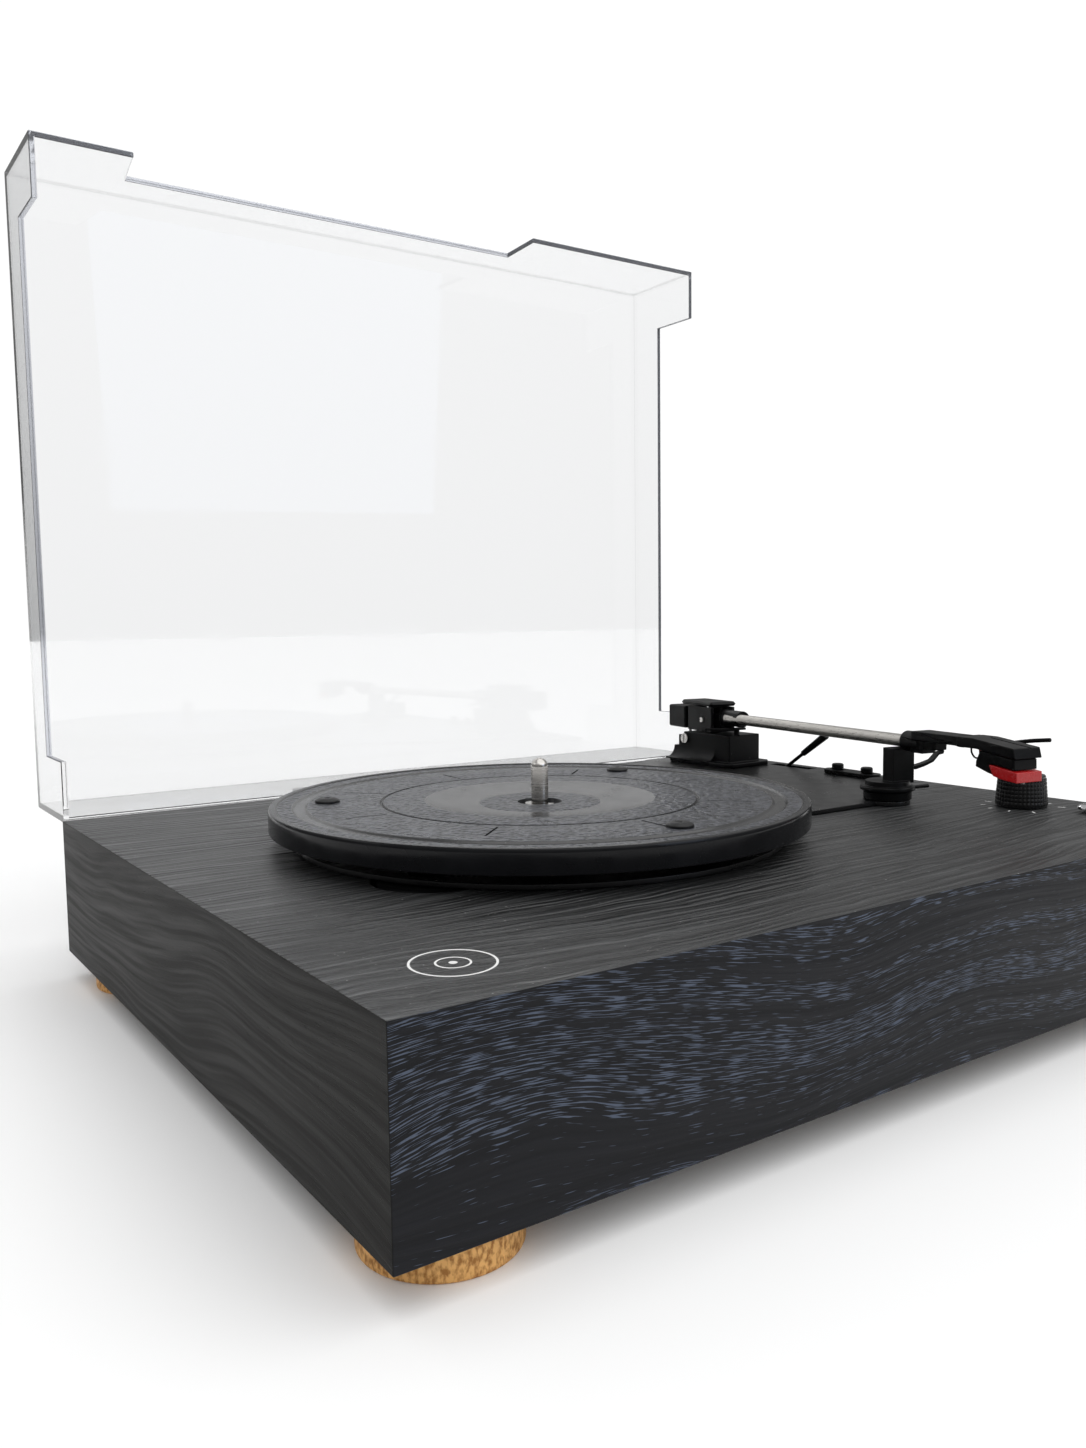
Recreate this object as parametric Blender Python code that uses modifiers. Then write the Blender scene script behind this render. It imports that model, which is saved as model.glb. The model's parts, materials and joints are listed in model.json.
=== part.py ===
"""A belt-drive record player with a wooden plinth, a straight arm and a hinged clear cover.

Every piece hangs on the empty "deck_corner", so that a position reads as x from the
plinth's left face, y from its front face and z above its top face. The whole object
stands at the world origin: feet on z = 0, centred on x and y, cover open.
"""

import math

import bmesh
import bpy
from mathutils import Matrix, Vector

# ---- Fits
SEAT_GAP = 0.0003          # between two pieces that rest on each other
RUN_GAP = 0.0003           # radial play round a turning or sliding piece

# ---- Plinth
PLINTH_WIDTH = 0.400
PLINTH_DEPTH = 0.324
PLINTH_HEIGHT = 0.0605
BOARD = 0.012              # thickness of the plinth's boards
BASE_BOARD = 0.003
FOOT_RADIUS = 0.0225
FOOT_HEIGHT = 0.012
FOOT_INSET = 0.028         # foot centre from the two nearest faces

# ---- Dust cover, as it lies when closed
COVER_SIDE_INSET = 0.0035
COVER_DEPTH = 0.3116
COVER_HEIGHT = 0.0578
COVER_WALL = 0.0026
COVER_REAR_INSET = 0.0005  # rear wall in from the plinth's back face
COVER_BAND = 0.027         # height of wall left above the notches
COVER_SIDE_LEG = 0.029     # length of the legs at the ends of the side walls
COVER_LEFT_LEG = 0.045     # left leg of the front wall, at its tip
COVER_RIGHT_LEG = 0.120    # right leg of the front wall
COVER_LEG_SLANT = 0.005
COVER_OPEN_DEG = 90.0
HINGE_BEHIND = 0.005       # hinge axis behind the plinth's back face
HINGE_BELOW = 0.0089       # hinge axis below the deck
HINGE_SPREAD = 0.116       # distance between the two hinges
HINGE_BARREL_RADIUS = 0.0036
HINGE_PIN_RADIUS = 0.0014
HINGE_WIDTH = 0.030
HINGE_LEAF_LENGTH = 0.026
HINGE_LEAF = 0.0022

# ---- Platter
PLATTER_X = 0.1531
PLATTER_Y = PLINTH_DEPTH / 2
PLATTER_RADIUS = 0.1097
PLATTER_BOTTOM = 0.0071
PLATTER_TOP = 0.0161
PLATTER_SURFACE = 0.0156   # the textured face that the pads stand on
PLATTER_PLATE = 0.0030     # thickness of the platter's disc
DISH_RADIUS = 0.047
HUB_RADIUS = 0.0246
HUB_TOP = 0.0136
HUB_RECESS = 0.0085
BELT_RING_RADIUS = 0.069
BELT_RING_WALL = 0.003
PAD_RADIUS = 0.005
PAD_HEIGHT = 0.0016
PAD_CIRCLE = 0.087
PAD_COUNT = 3
SPINDLE_RADIUS = 0.00355
SPINDLE_TOP = 0.032

# ---- Drive
PLATE_THICKNESS = 0.002
PULLEY_RADIUS = 0.005
PULLEY_CIRCLE = 0.088      # pulley centre from the spindle
PULLEY_ANGLE = -150.0
BELT_WIDTH = 0.004
BELT_THICKNESS = 0.0008
BELT_BOTTOM = 0.0075
MOTOR_RADIUS = 0.019
MOTOR_HEIGHT = 0.026

# ---- Tonearm; u runs from the pivot to the head, w across it, z above the deck
ARM_X = 0.3593
ARM_Y = 0.278
ARM_YAW_DEG = 10.65        # resting arm, turned in from the plinth's side
ARM_AXIS_Z = 0.030
ARM_PITCH_Z = 0.0280
ARM_LENGTH = 0.2375
TUBE_RADIUS = 0.003
TUBE_START = 0.018
SOCKET_START = 0.166
SOCKET_END = 0.1765
SOCKET_RADIUS = 0.0048
SHELL_WIDTH = 0.015
FORK_INNER = 0.0124
FORK_WALL = 0.002
FORK_FRONT = 0.010          # fork, from the pivot towards the head
FORK_REAR = 0.016
FORK_FLOOR = 0.0212
CAP_BOTTOM = 0.0360
CAP_THICKNESS = 0.003
PEDESTAL_WIDTH = 0.024
PEDESTAL_LENGTH = 0.044
PEDESTAL_Y = 0.274
PEDESTAL_TOP = 0.0205
REST_U = 0.1605
POST_WIDTH = 0.0124
POST_LENGTH = 0.0074
CLIP_PIN_RADIUS = 0.0008
CLIP_PIVOT_W = 0.0082      # the clip's hinge, across from the arm's line
CLIP_PIVOT_Z = 0.0170
CLIP_OPEN_DEG = 82.0

# ---- Controls
KNOB_X = 0.3665
KNOB_Y = 0.080
KNOB_RADIUS = 0.0115
KNOB_HEIGHT = 0.0150
BUTTON_X = 0.3735
BUTTON_Y = 0.0508
BUTTON_RADIUS = 0.0053
SWITCH_X = 0.3750
SWITCH_Y = 0.1862
SWITCH_WIDTH = 0.0105
SWITCH_LENGTH = 0.0370
SWITCH_TURN_DEG = -3.0
SPEED_TRAVEL = 0.0025      # to each side of the middle speed
STOP_TRAVEL = 0.003        # towards the front
CUE_X = 0.3795
CUE_Y = 0.246
CUE_Z = -0.004             # the lever's axis lies just under the deck's face
CUE_RISE_DEG = 35.0
CUE_LENGTH = 0.0455
CUE_HUB_HALF = 0.0026      # half the length of the lever's hub, along x

DECK_Z = FOOT_HEIGHT + PLINTH_HEIGHT
PLATE_TOP = SEAT_GAP + PLATE_THICKNESS
HINGE_Y = PLINTH_DEPTH + HINGE_BEHIND
COVER_RIM = 0.0004         # the closed cover's rim above the deck
OPEN_BACK = HINGE_Y + COVER_RIM + COVER_HEIGHT + HINGE_BELOW


# ---------------------------------------------------------------- scene and materials

def clear_scene():
    for old in list(bpy.data.objects):
        bpy.data.objects.remove(old, do_unlink=True)


def new_collection(name):
    collection = bpy.data.collections.new(name)
    bpy.context.scene.collection.children.link(collection)
    return collection


def material(name, colour, roughness, metallic=0.0, alpha=1.0):
    """A Principled material, made once for each name."""
    found = bpy.data.materials.get(name)
    if found:
        return found
    made = bpy.data.materials.new(name)
    made.use_nodes = True
    shader = made.node_tree.nodes["Principled BSDF"]
    shader.inputs["Base Color"].default_value = (*colour, 1.0)
    shader.inputs["Roughness"].default_value = roughness
    shader.inputs["Metallic"].default_value = metallic
    shader.inputs["Alpha"].default_value = alpha
    made.diffuse_color = (*colour, alpha)
    return made


def black_plastic():
    return material("black_plastic", (0.020, 0.020, 0.022), 0.45)


def steel():
    return material("steel", (0.62, 0.61, 0.59), 0.3, 1.0)


clear_scene()
PARTS = new_collection("record_player")
CUTTERS = new_collection("record_player_cutters")


# ---------------------------------------------------------------- shapes

def empty(name, parent, location=(0, 0, 0), rotation=(0, 0, 0)):
    made = bpy.data.objects.new(name, None)
    made.location = location
    made.rotation_euler = rotation
    made.parent = parent
    made.empty_display_size = 0.01
    PARTS.objects.link(made)
    return made


def add(name, mesh, finish, parent, location=(0, 0, 0), rotation=(0, 0, 0)):
    """A piece of the record player: its object in the parts' collection."""
    made = bpy.data.objects.new(name, mesh)
    made.location = location
    made.rotation_euler = rotation
    made.parent = parent
    mesh.materials.append(finish)
    PARTS.objects.link(made)
    return made


def box_mesh(name, low, high):
    low, high = Vector(low), Vector(high)
    shape = bmesh.new()
    bmesh.ops.create_cube(shape, size=1.0)
    bmesh.ops.scale(shape, vec=high - low, verts=shape.verts)
    bmesh.ops.translate(shape, vec=(low + high) / 2, verts=shape.verts)
    mesh = bpy.data.meshes.new(name)
    shape.to_mesh(mesh)
    shape.free()
    return mesh


def rod_mesh(name, radius, bottom, top, sides=24, end_radius=None, turn=None):
    """A cylinder or cone along Z from bottom to top, then turned by a matrix."""
    shape = bmesh.new()
    bmesh.ops.create_cone(
        shape, cap_ends=True, segments=sides, radius1=radius,
        radius2=radius if end_radius is None else end_radius, depth=top - bottom)
    bmesh.ops.translate(shape, vec=(0, 0, (top + bottom) / 2), verts=shape.verts)
    if turn is not None:
        bmesh.ops.transform(shape, matrix=turn, verts=shape.verts)
    mesh = bpy.data.meshes.new(name)
    shape.to_mesh(mesh)
    shape.free()
    mesh.shade_smooth()
    mesh.set_sharp_from_angle(angle=math.radians(40))
    return mesh


def turned(name, profile, finish, parent, location=(0, 0, 0), steps=32, ring=False):
    """A turned piece: its profile of (radius, z), top to bottom on the outer side.

    A ring's profile closes on itself; any other profile starts and ends on the axis.
    """
    count = len(profile)
    edges = [(i, (i + 1) % count) for i in range(count if ring else count - 1)]
    mesh = bpy.data.meshes.new(name)
    mesh.from_pydata([(r, 0.0, z) for r, z in profile], edges, [])
    piece = add(name, mesh, finish, parent, location)
    screw = piece.modifiers.new("turn", "SCREW")
    screw.axis = "Z"
    screw.angle = math.radians(360)
    screw.steps = screw.render_steps = steps
    screw.use_merge_vertices = True
    screw.merge_threshold = 0.00001
    screw.use_smooth_shade = True
    return piece


def prism_mesh(name, loops, bottom, top, turn=None):
    """A flat outline with its holes, extruded from bottom to top, then turned."""
    curve = bpy.data.curves.new(name, "CURVE")
    curve.dimensions = "2D"
    curve.fill_mode = "BOTH"
    curve.extrude = (top - bottom) / 2
    for points in loops:
        spline = curve.splines.new("POLY")
        spline.points.add(len(points) - 1)
        for place, (x, y) in zip(spline.points, points):
            place.co = (x, y, 0, 1)
        spline.use_cyclic_u = True
    guide = bpy.data.objects.new(name, curve)
    bpy.context.scene.collection.objects.link(guide)
    bpy.context.view_layer.update()
    graph = bpy.context.evaluated_depsgraph_get()
    mesh = bpy.data.meshes.new_from_object(guide.evaluated_get(graph))
    bpy.data.objects.remove(guide)
    shape = bmesh.new()
    shape.from_mesh(mesh)
    bmesh.ops.remove_doubles(shape, verts=shape.verts, dist=1e-6)
    bmesh.ops.translate(shape, vec=(0, 0, (top + bottom) / 2), verts=shape.verts)
    if turn is not None:
        bmesh.ops.transform(shape, matrix=turn, verts=shape.verts)
    bmesh.ops.recalc_face_normals(shape, faces=shape.faces)
    shape.to_mesh(mesh)
    shape.free()
    mesh.name = name
    return mesh


def placed(mesh, x, y, z=0.0, turn=0.0):
    """The mesh turned about Z and moved."""
    mesh.transform(Matrix.Translation((x, y, z)) @ Matrix.Rotation(turn, 4, "Z"))
    return mesh


def merged(name, meshes):
    """One mesh of several that don't touch, so that they cut in one step."""
    shape = bmesh.new()
    for mesh in meshes:
        shape.from_mesh(mesh)
    whole = bpy.data.meshes.new(name)
    shape.to_mesh(whole)
    shape.free()
    return whole


def boolean(piece, mesh, operation):
    """Cuts a mesh from the piece or joins it on; the mesh is in the piece's own frame."""
    tool = bpy.data.objects.new(f"{piece.name}_{operation.lower()}", mesh)
    tool.parent = piece
    tool.hide_render = True
    tool.display_type = "WIRE"
    CUTTERS.objects.link(tool)
    step = piece.modifiers.new(operation.lower(), "BOOLEAN")
    step.operation = operation
    step.solver = "EXACT"
    step.object = tool


def cut(piece, *meshes):
    for mesh in meshes:
        boolean(piece, mesh, "DIFFERENCE")


def join(piece, *meshes):
    for mesh in meshes:
        boolean(piece, mesh, "UNION")


def rounded(piece, width, segments=1, angle=35):
    bevel = piece.modifiers.new("edges", "BEVEL")
    bevel.width = width
    bevel.segments = segments
    bevel.limit_method = "ANGLE"
    bevel.angle_limit = math.radians(angle)
    return piece


def tube(name, points, radius, finish, parent, smooth=False, sides=2):
    """A round wire or rod through its points."""
    curve = bpy.data.curves.new(name, "CURVE")
    curve.dimensions = "3D"
    curve.bevel_depth = radius
    curve.bevel_resolution = sides
    curve.use_fill_caps = True
    if smooth:
        points = smoothed(points)
    spline = curve.splines.new("POLY")
    spline.points.add(len(points) - 1)
    for place, point in zip(spline.points, points):
        place.co = (*point, 1)
    curve.materials.append(finish)
    made = bpy.data.objects.new(name, curve)
    made.parent = parent
    PARTS.objects.link(made)
    return made


def smoothed(points, between=3):
    """Points along a smooth curve through the given ones."""
    points = [Vector(p) for p in points]
    ends = [2 * points[0] - points[1], *points, 2 * points[-1] - points[-2]]
    path = []
    for a, b, c, d in zip(ends, ends[1:], ends[2:], ends[3:]):
        for k in range(between):
            t = k / between
            path.append(0.5 * (2 * b + (c - a) * t + (2 * a - 5 * b + 4 * c - d) * t * t
                               + (3 * b - a - 3 * c + d) * t ** 3))
    return [*path, points[-1]]


def arc(centre, radius, start_deg, end_deg, count):
    """Points along an arc, ends included."""
    angles = [math.radians(start_deg + (end_deg - start_deg) * k / (count - 1))
              for k in range(count)]
    return [(centre[0] + radius * math.cos(a), centre[1] + radius * math.sin(a))
            for a in angles]


def circle(centre, radius, count=24):
    return arc(centre, radius, 0, 360 * (count - 1) / count, count)


def rectangle(centre, width, length):
    x, y = centre
    return [(x - width / 2, y - length / 2), (x + width / 2, y - length / 2),
            (x + width / 2, y + length / 2), (x - width / 2, y + length / 2)]


# Turns a prism drawn in (u, z) so that its thickness lies across, along w.
UPRIGHT = Matrix.Rotation(math.radians(90), 4, "X")
# Turns a rod along Z so that it lies along X.
ALONG_X = Matrix.Rotation(math.radians(90), 4, "Y")
# Turns a rod along Z so that it lies along Y.
ALONG_Y = Matrix.Rotation(math.radians(-90), 4, "X")


def polar(angle_deg, radius, centre):
    angle = math.radians(angle_deg)
    return (centre[0] + radius * math.cos(angle), centre[1] + radius * math.sin(angle))


SPINDLE = (PLATTER_X, PLATTER_Y)
PULLEY = polar(PULLEY_ANGLE, PULLEY_CIRCLE, SPINDLE)
ARM_TURN = math.radians(-90 - ARM_YAW_DEG)
REST = (ARM_X - REST_U * math.sin(math.radians(ARM_YAW_DEG)),
        ARM_Y - REST_U * math.cos(math.radians(ARM_YAW_DEG)))
REST_BASE = (REST[0] - 0.004, REST[1] + 0.003)   # the rest's round foot, off its post
ARM_SHAFT_RADIUS = 0.0038
SPINDLE_BUSH_RADIUS = 0.0075
PULLEY_HOLE_RADIUS = PULLEY_RADIUS + 0.003
POT_BUSH_RADIUS = 0.0035
BUTTON_STEM_RADIUS = 0.003
CUE_POST_RADIUS = 0.0016
CUE_POST_U = 0.0245
HINGE_X = [PLINTH_WIDTH / 2 - HINGE_SPREAD / 2, PLINTH_WIDTH / 2 + HINGE_SPREAD / 2]
CUE_POST = (ARM_X + CUE_POST_U * math.cos(ARM_TURN), ARM_Y + CUE_POST_U * math.sin(ARM_TURN))


# ---------------------------------------------------------------- plinth

JACK_HINGE_GAP = 0.012      # connector plate from the right hinge's bracket
JACK_WIDTH = 0.090
JACK_X = ((PLINTH_WIDTH + HINGE_SPREAD + HINGE_WIDTH) / 2 + JACK_HINGE_GAP
          + JACK_WIDTH / 2)
JACK_HEIGHT = 0.026
JACK_Z = -0.030
JACK_PLATE = 0.0015
RCA_X = (JACK_X - 0.029, JACK_X - 0.011)
AUX_X = JACK_X + 0.008
POWER_X = JACK_X + 0.027


def make_plinth(deck):
    ash = material("black_ash", (0.030, 0.031, 0.034), 0.5)
    shell = add("plinth", box_mesh(
        "plinth", (0, 0, -PLINTH_HEIGHT), (PLINTH_WIDTH, PLINTH_DEPTH, 0)), ash, deck)
    cut(shell, box_mesh(
        "room", (BOARD, BOARD, -PLINTH_HEIGHT - 0.01),
        (PLINTH_WIDTH - BOARD, PLINTH_DEPTH - BOARD, -BOARD)))
    through = (-BOARD - 0.005, 0.005)
    holes = (
        (SPINDLE, SPINDLE_BUSH_RADIUS + 0.002), (PULLEY, MOTOR_RADIUS + 0.002),
        ((ARM_X, ARM_Y), ARM_SHAFT_RADIUS + 0.003), (CUE_POST, CUE_POST_RADIUS + 0.0015),
        ((KNOB_X, KNOB_Y), POT_BUSH_RADIUS + RUN_GAP),
        ((BUTTON_X, BUTTON_Y), BUTTON_STEM_RADIUS + RUN_GAP))
    drills = []
    for (x, y), radius in holes:
        drills.append(placed(rod_mesh("drill", radius, *through, 20), x, y))
    slot = box_mesh("slot", (-SWITCH_WIDTH / 2 + 0.002, -SWITCH_LENGTH / 2 + 0.002, through[0]),
                    (SWITCH_WIDTH / 2 - 0.002, SWITCH_LENGTH / 2 - 0.002, through[1]))
    placed(slot, SWITCH_X, SWITCH_Y, 0, math.radians(SWITCH_TURN_DEG))
    slot_half = CUE_HUB_HALF + RUN_GAP
    lever_slot = box_mesh("lever_slot", (CUE_X - slot_half, CUE_Y - 0.022, through[0]),
                          (CUE_X + slot_half, CUE_Y + 0.004, through[1]))
    window = box_mesh(
        "window", (JACK_X - JACK_WIDTH / 2 + 0.004, PLINTH_DEPTH - BOARD - 0.005,
                   JACK_Z - JACK_HEIGHT / 2 + 0.003),
        (JACK_X + JACK_WIDTH / 2 - 0.004, PLINTH_DEPTH + 0.005,
         JACK_Z + JACK_HEIGHT / 2 - 0.003))
    cut(shell, merged("openings", [*drills, slot, lever_slot, window]))

    base_gap = 0.0005
    base_top = -PLINTH_HEIGHT + BASE_BOARD
    base = add("base_board", box_mesh(
        "base_board", (BOARD + base_gap, BOARD + base_gap, -PLINTH_HEIGHT),
        (PLINTH_WIDTH - BOARD - base_gap, PLINTH_DEPTH - BOARD - base_gap, base_top)),
        material("hardboard", (0.10, 0.075, 0.055), 0.8), deck)
    for row in range(2):
        for column in range(7):
            vent = box_mesh("vent", (0.17 + 0.01 * column, 0.14 + 0.03 * row,
                                     -PLINTH_HEIGHT - 0.005),
                            (0.173 + 0.01 * column, 0.16 + 0.03 * row, base_top + 0.005))
            cut(base, vent)


def make_feet(deck):
    cork = material("cork", (0.55, 0.36, 0.17), 0.8)
    for front, y in (("front", FOOT_INSET), ("rear", PLINTH_DEPTH - FOOT_INSET)):
        for side, x in (("left", FOOT_INSET), ("right", PLINTH_WIDTH - FOOT_INSET)):
            height = FOOT_HEIGHT - SEAT_GAP
            chamfer = 0.0008
            turned(f"foot_{front}_{side}", [
                (0, height), (FOOT_RADIUS - chamfer, height), (FOOT_RADIUS, height - chamfer),
                (FOOT_RADIUS, chamfer), (FOOT_RADIUS - chamfer, 0), (0, 0)],
                cork, deck, (x, y, -DECK_Z), steps=40)


def make_jacks(deck):
    """The connector plate let into the plinth's back, with its sockets."""
    back = PLINTH_DEPTH + SEAT_GAP
    plate = add("jack_plate", box_mesh(
        "jack_plate", (JACK_X - JACK_WIDTH / 2, back, JACK_Z - JACK_HEIGHT / 2),
        (JACK_X + JACK_WIDTH / 2, back + JACK_PLATE, JACK_Z + JACK_HEIGHT / 2)),
        black_plastic(), deck)
    sockets = (
        ("rca_jack_left", RCA_X[0], 0.0042, 0.0016, 0.009, (0.75, 0.75, 0.73)),
        ("rca_jack_right", RCA_X[1], 0.0042, 0.0016, 0.009, (0.55, 0.03, 0.03)),
        ("aux_jack", AUX_X, 0.0034, 0.0018, 0.0015, (0.02, 0.02, 0.02)),
        ("power_jack", POWER_X, 0.0042, 0.0019, 0.0012, (0.02, 0.02, 0.02)))
    for name, x, outer, bore, proud, colour in sockets:
        hole = rod_mesh("hole", outer + RUN_GAP, -0.01, 0.01, 20, turn=ALONG_Y)
        cut(plate, placed(hole, x, back, JACK_Z))
        socket = add(name, rod_mesh(name, outer, -0.010, JACK_PLATE + proud, 20, turn=ALONG_Y),
                     material(name, colour, 0.4), deck, (x, back, JACK_Z))
        cut(socket, rod_mesh("bore", bore, -0.007, 0.02, 16, turn=ALONG_Y))


# ---------------------------------------------------------------- mechanism

def make_mechanism_plate(deck):
    """The black deck plate under the platter and arm, with a lobe for the arm rest."""
    lobe = 0.0105
    wing_front = 0.122
    disc = 0.100
    meet = math.degrees(math.asin((PLATTER_Y - wing_front) / disc))
    outline = [
        *arc(SPINDLE, disc, 62, 360 - meet, 33),
        *arc(REST_BASE, lobe, 190, 385, 13),
        (PLINTH_WIDTH - 0.030, 0.150), (PLINTH_WIDTH - 0.012, 0.162),
        *arc((PLINTH_WIDTH - 0.020, PLINTH_DEPTH - 0.020), 0.008, 0, 90, 5),
        *arc((ARM_X - 0.022, PLINTH_DEPTH - 0.020), 0.008, 90, 150, 4)]
    turn = math.radians(SWITCH_TURN_DEG)
    slot = [(SWITCH_X + x * math.cos(turn) - y * math.sin(turn),
             SWITCH_Y + x * math.sin(turn) + y * math.cos(turn))
            for x, y in rectangle((0, 0), SWITCH_WIDTH - 0.004, SWITCH_LENGTH - 0.004)]
    holes = [
        circle(SPINDLE, SPINDLE_BUSH_RADIUS + RUN_GAP),
        circle(PULLEY, PULLEY_HOLE_RADIUS),
        circle((ARM_X, ARM_Y), ARM_SHAFT_RADIUS + 0.002, 16),
        circle(CUE_POST, CUE_POST_RADIUS + RUN_GAP, 12),
        rectangle((CUE_X, CUE_Y - 0.01225), 0.007, 0.0305), slot]
    add("mechanism_plate", prism_mesh(
        "mechanism_plate", [outline, *holes], SEAT_GAP, PLATE_TOP), black_plastic(), deck)


def make_bearing(deck):
    """The fixed spindle in its bush, with the washer and the clip that hold the platter."""
    flange = 0.0125
    bush_top = PLATE_TOP + 0.0042
    turned("spindle_bush", [
        (SPINDLE_RADIUS + SEAT_GAP, bush_top), (SPINDLE_BUSH_RADIUS, bush_top),
        (SPINDLE_BUSH_RADIUS, PLATE_TOP + 0.0018), (flange, PLATE_TOP + 0.0018),
        (flange, PLATE_TOP + SEAT_GAP), (SPINDLE_BUSH_RADIUS, PLATE_TOP + SEAT_GAP),
        (SPINDLE_BUSH_RADIUS, -0.016), (SPINDLE_RADIUS + SEAT_GAP, -0.016)],
        material("bronze", (0.45, 0.33, 0.16), 0.4, 1.0), deck, (*SPINDLE, 0), ring=True,
        steps=24)
    groove = SPINDLE_RADIUS - 0.0006
    clip_bottom, clip_top = hub_seat() + SEAT_GAP, hub_seat() + 0.0011
    tip = [(SPINDLE_RADIUS * math.sin(a), SPINDLE_TOP - SPINDLE_RADIUS * (1 - math.cos(a)))
           for a in (math.radians(22.5 * k) for k in range(5))]
    turned("spindle", [
        *tip, (SPINDLE_RADIUS, clip_top + RUN_GAP), (groove, clip_top + RUN_GAP),
        (groove, clip_bottom - RUN_GAP), (SPINDLE_RADIUS, clip_bottom - RUN_GAP),
        (SPINDLE_RADIUS, -0.020), (0, -0.020)], steel(), deck, (*SPINDLE, 0), steps=20)
    washer_bottom = bush_top + SEAT_GAP
    turned("thrust_washer", [
        (SPINDLE_RADIUS + RUN_GAP, washer_bottom + 0.0006), (0.0072, washer_bottom + 0.0006),
        (0.0072, washer_bottom), (SPINDLE_RADIUS + RUN_GAP, washer_bottom)],
        material("nylon", (0.8, 0.78, 0.7), 0.5), deck, (*SPINDLE, 0), ring=True, steps=20)
    opening = 50
    clip = [*arc((0, 0), 0.0062, opening, 360 - opening, 17),
            *arc((0, 0), groove + RUN_GAP, 360 - opening, opening, 13)]
    add("spindle_clip", prism_mesh("spindle_clip", [clip], clip_bottom, clip_top),
        steel(), deck, (*SPINDLE, 0))
    return washer_bottom + 0.0006


def hub_seat():
    """Height of the floor of the recess round the spindle."""
    return HUB_TOP - 0.0014


def make_motor(deck):
    motor = turned("drive_motor", [
        (0, 0), (MOTOR_RADIUS - 0.001, 0), (MOTOR_RADIUS, -0.001),
        (MOTOR_RADIUS, -MOTOR_HEIGHT), (0, -MOTOR_HEIGHT)],
        material("zinc", (0.5, 0.5, 0.5), 0.45, 1.0), deck, (*PULLEY, 0), steps=32)
    join(motor, rod_mesh("shaft", 0.001, -0.002, BELT_BOTTOM + BELT_WIDTH + 0.001, 12))
    axis = empty("pulley_axis", deck, (*PULLEY, 0))
    low, high = BELT_BOTTOM - 0.001, BELT_BOTTOM + BELT_WIDTH + 0.0007
    bore = 0.001 + RUN_GAP
    turned("motor_pulley", [
        (bore, high), (PULLEY_RADIUS + 0.001, high), (PULLEY_RADIUS + 0.001, high - 0.0003),
        (PULLEY_RADIUS, high - 0.0005), (PULLEY_RADIUS, low + 0.0005),
        (PULLEY_RADIUS + 0.001, low + 0.0003), (PULLEY_RADIUS + 0.001, low), (bore, low)],
        material("brass", (0.70, 0.52, 0.22), 0.3, 1.0), axis, ring=True, steps=24)


def belt_loop(extra):
    """The outline of a belt round the platter's ring and the pulley, plus extra."""
    ring, pulley = BELT_RING_RADIUS + extra, PULLEY_RADIUS + extra
    spread = math.degrees(math.acos((ring - pulley) / PULLEY_CIRCLE))
    return [*arc(SPINDLE, ring, PULLEY_ANGLE + spread, PULLEY_ANGLE + 360 - spread, 41),
            *arc(PULLEY, pulley, PULLEY_ANGLE - spread, PULLEY_ANGLE + spread, 9)]


def make_belt(deck):
    # The belt leaves its seat gap on the ring and on the pulley.
    add("drive_belt", prism_mesh(
        "drive_belt", [belt_loop(SEAT_GAP + BELT_THICKNESS), belt_loop(SEAT_GAP)],
        BELT_BOTTOM, BELT_BOTTOM + BELT_WIDTH),
        material("belt_rubber", (0.015, 0.015, 0.015), 0.7), deck)


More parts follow.
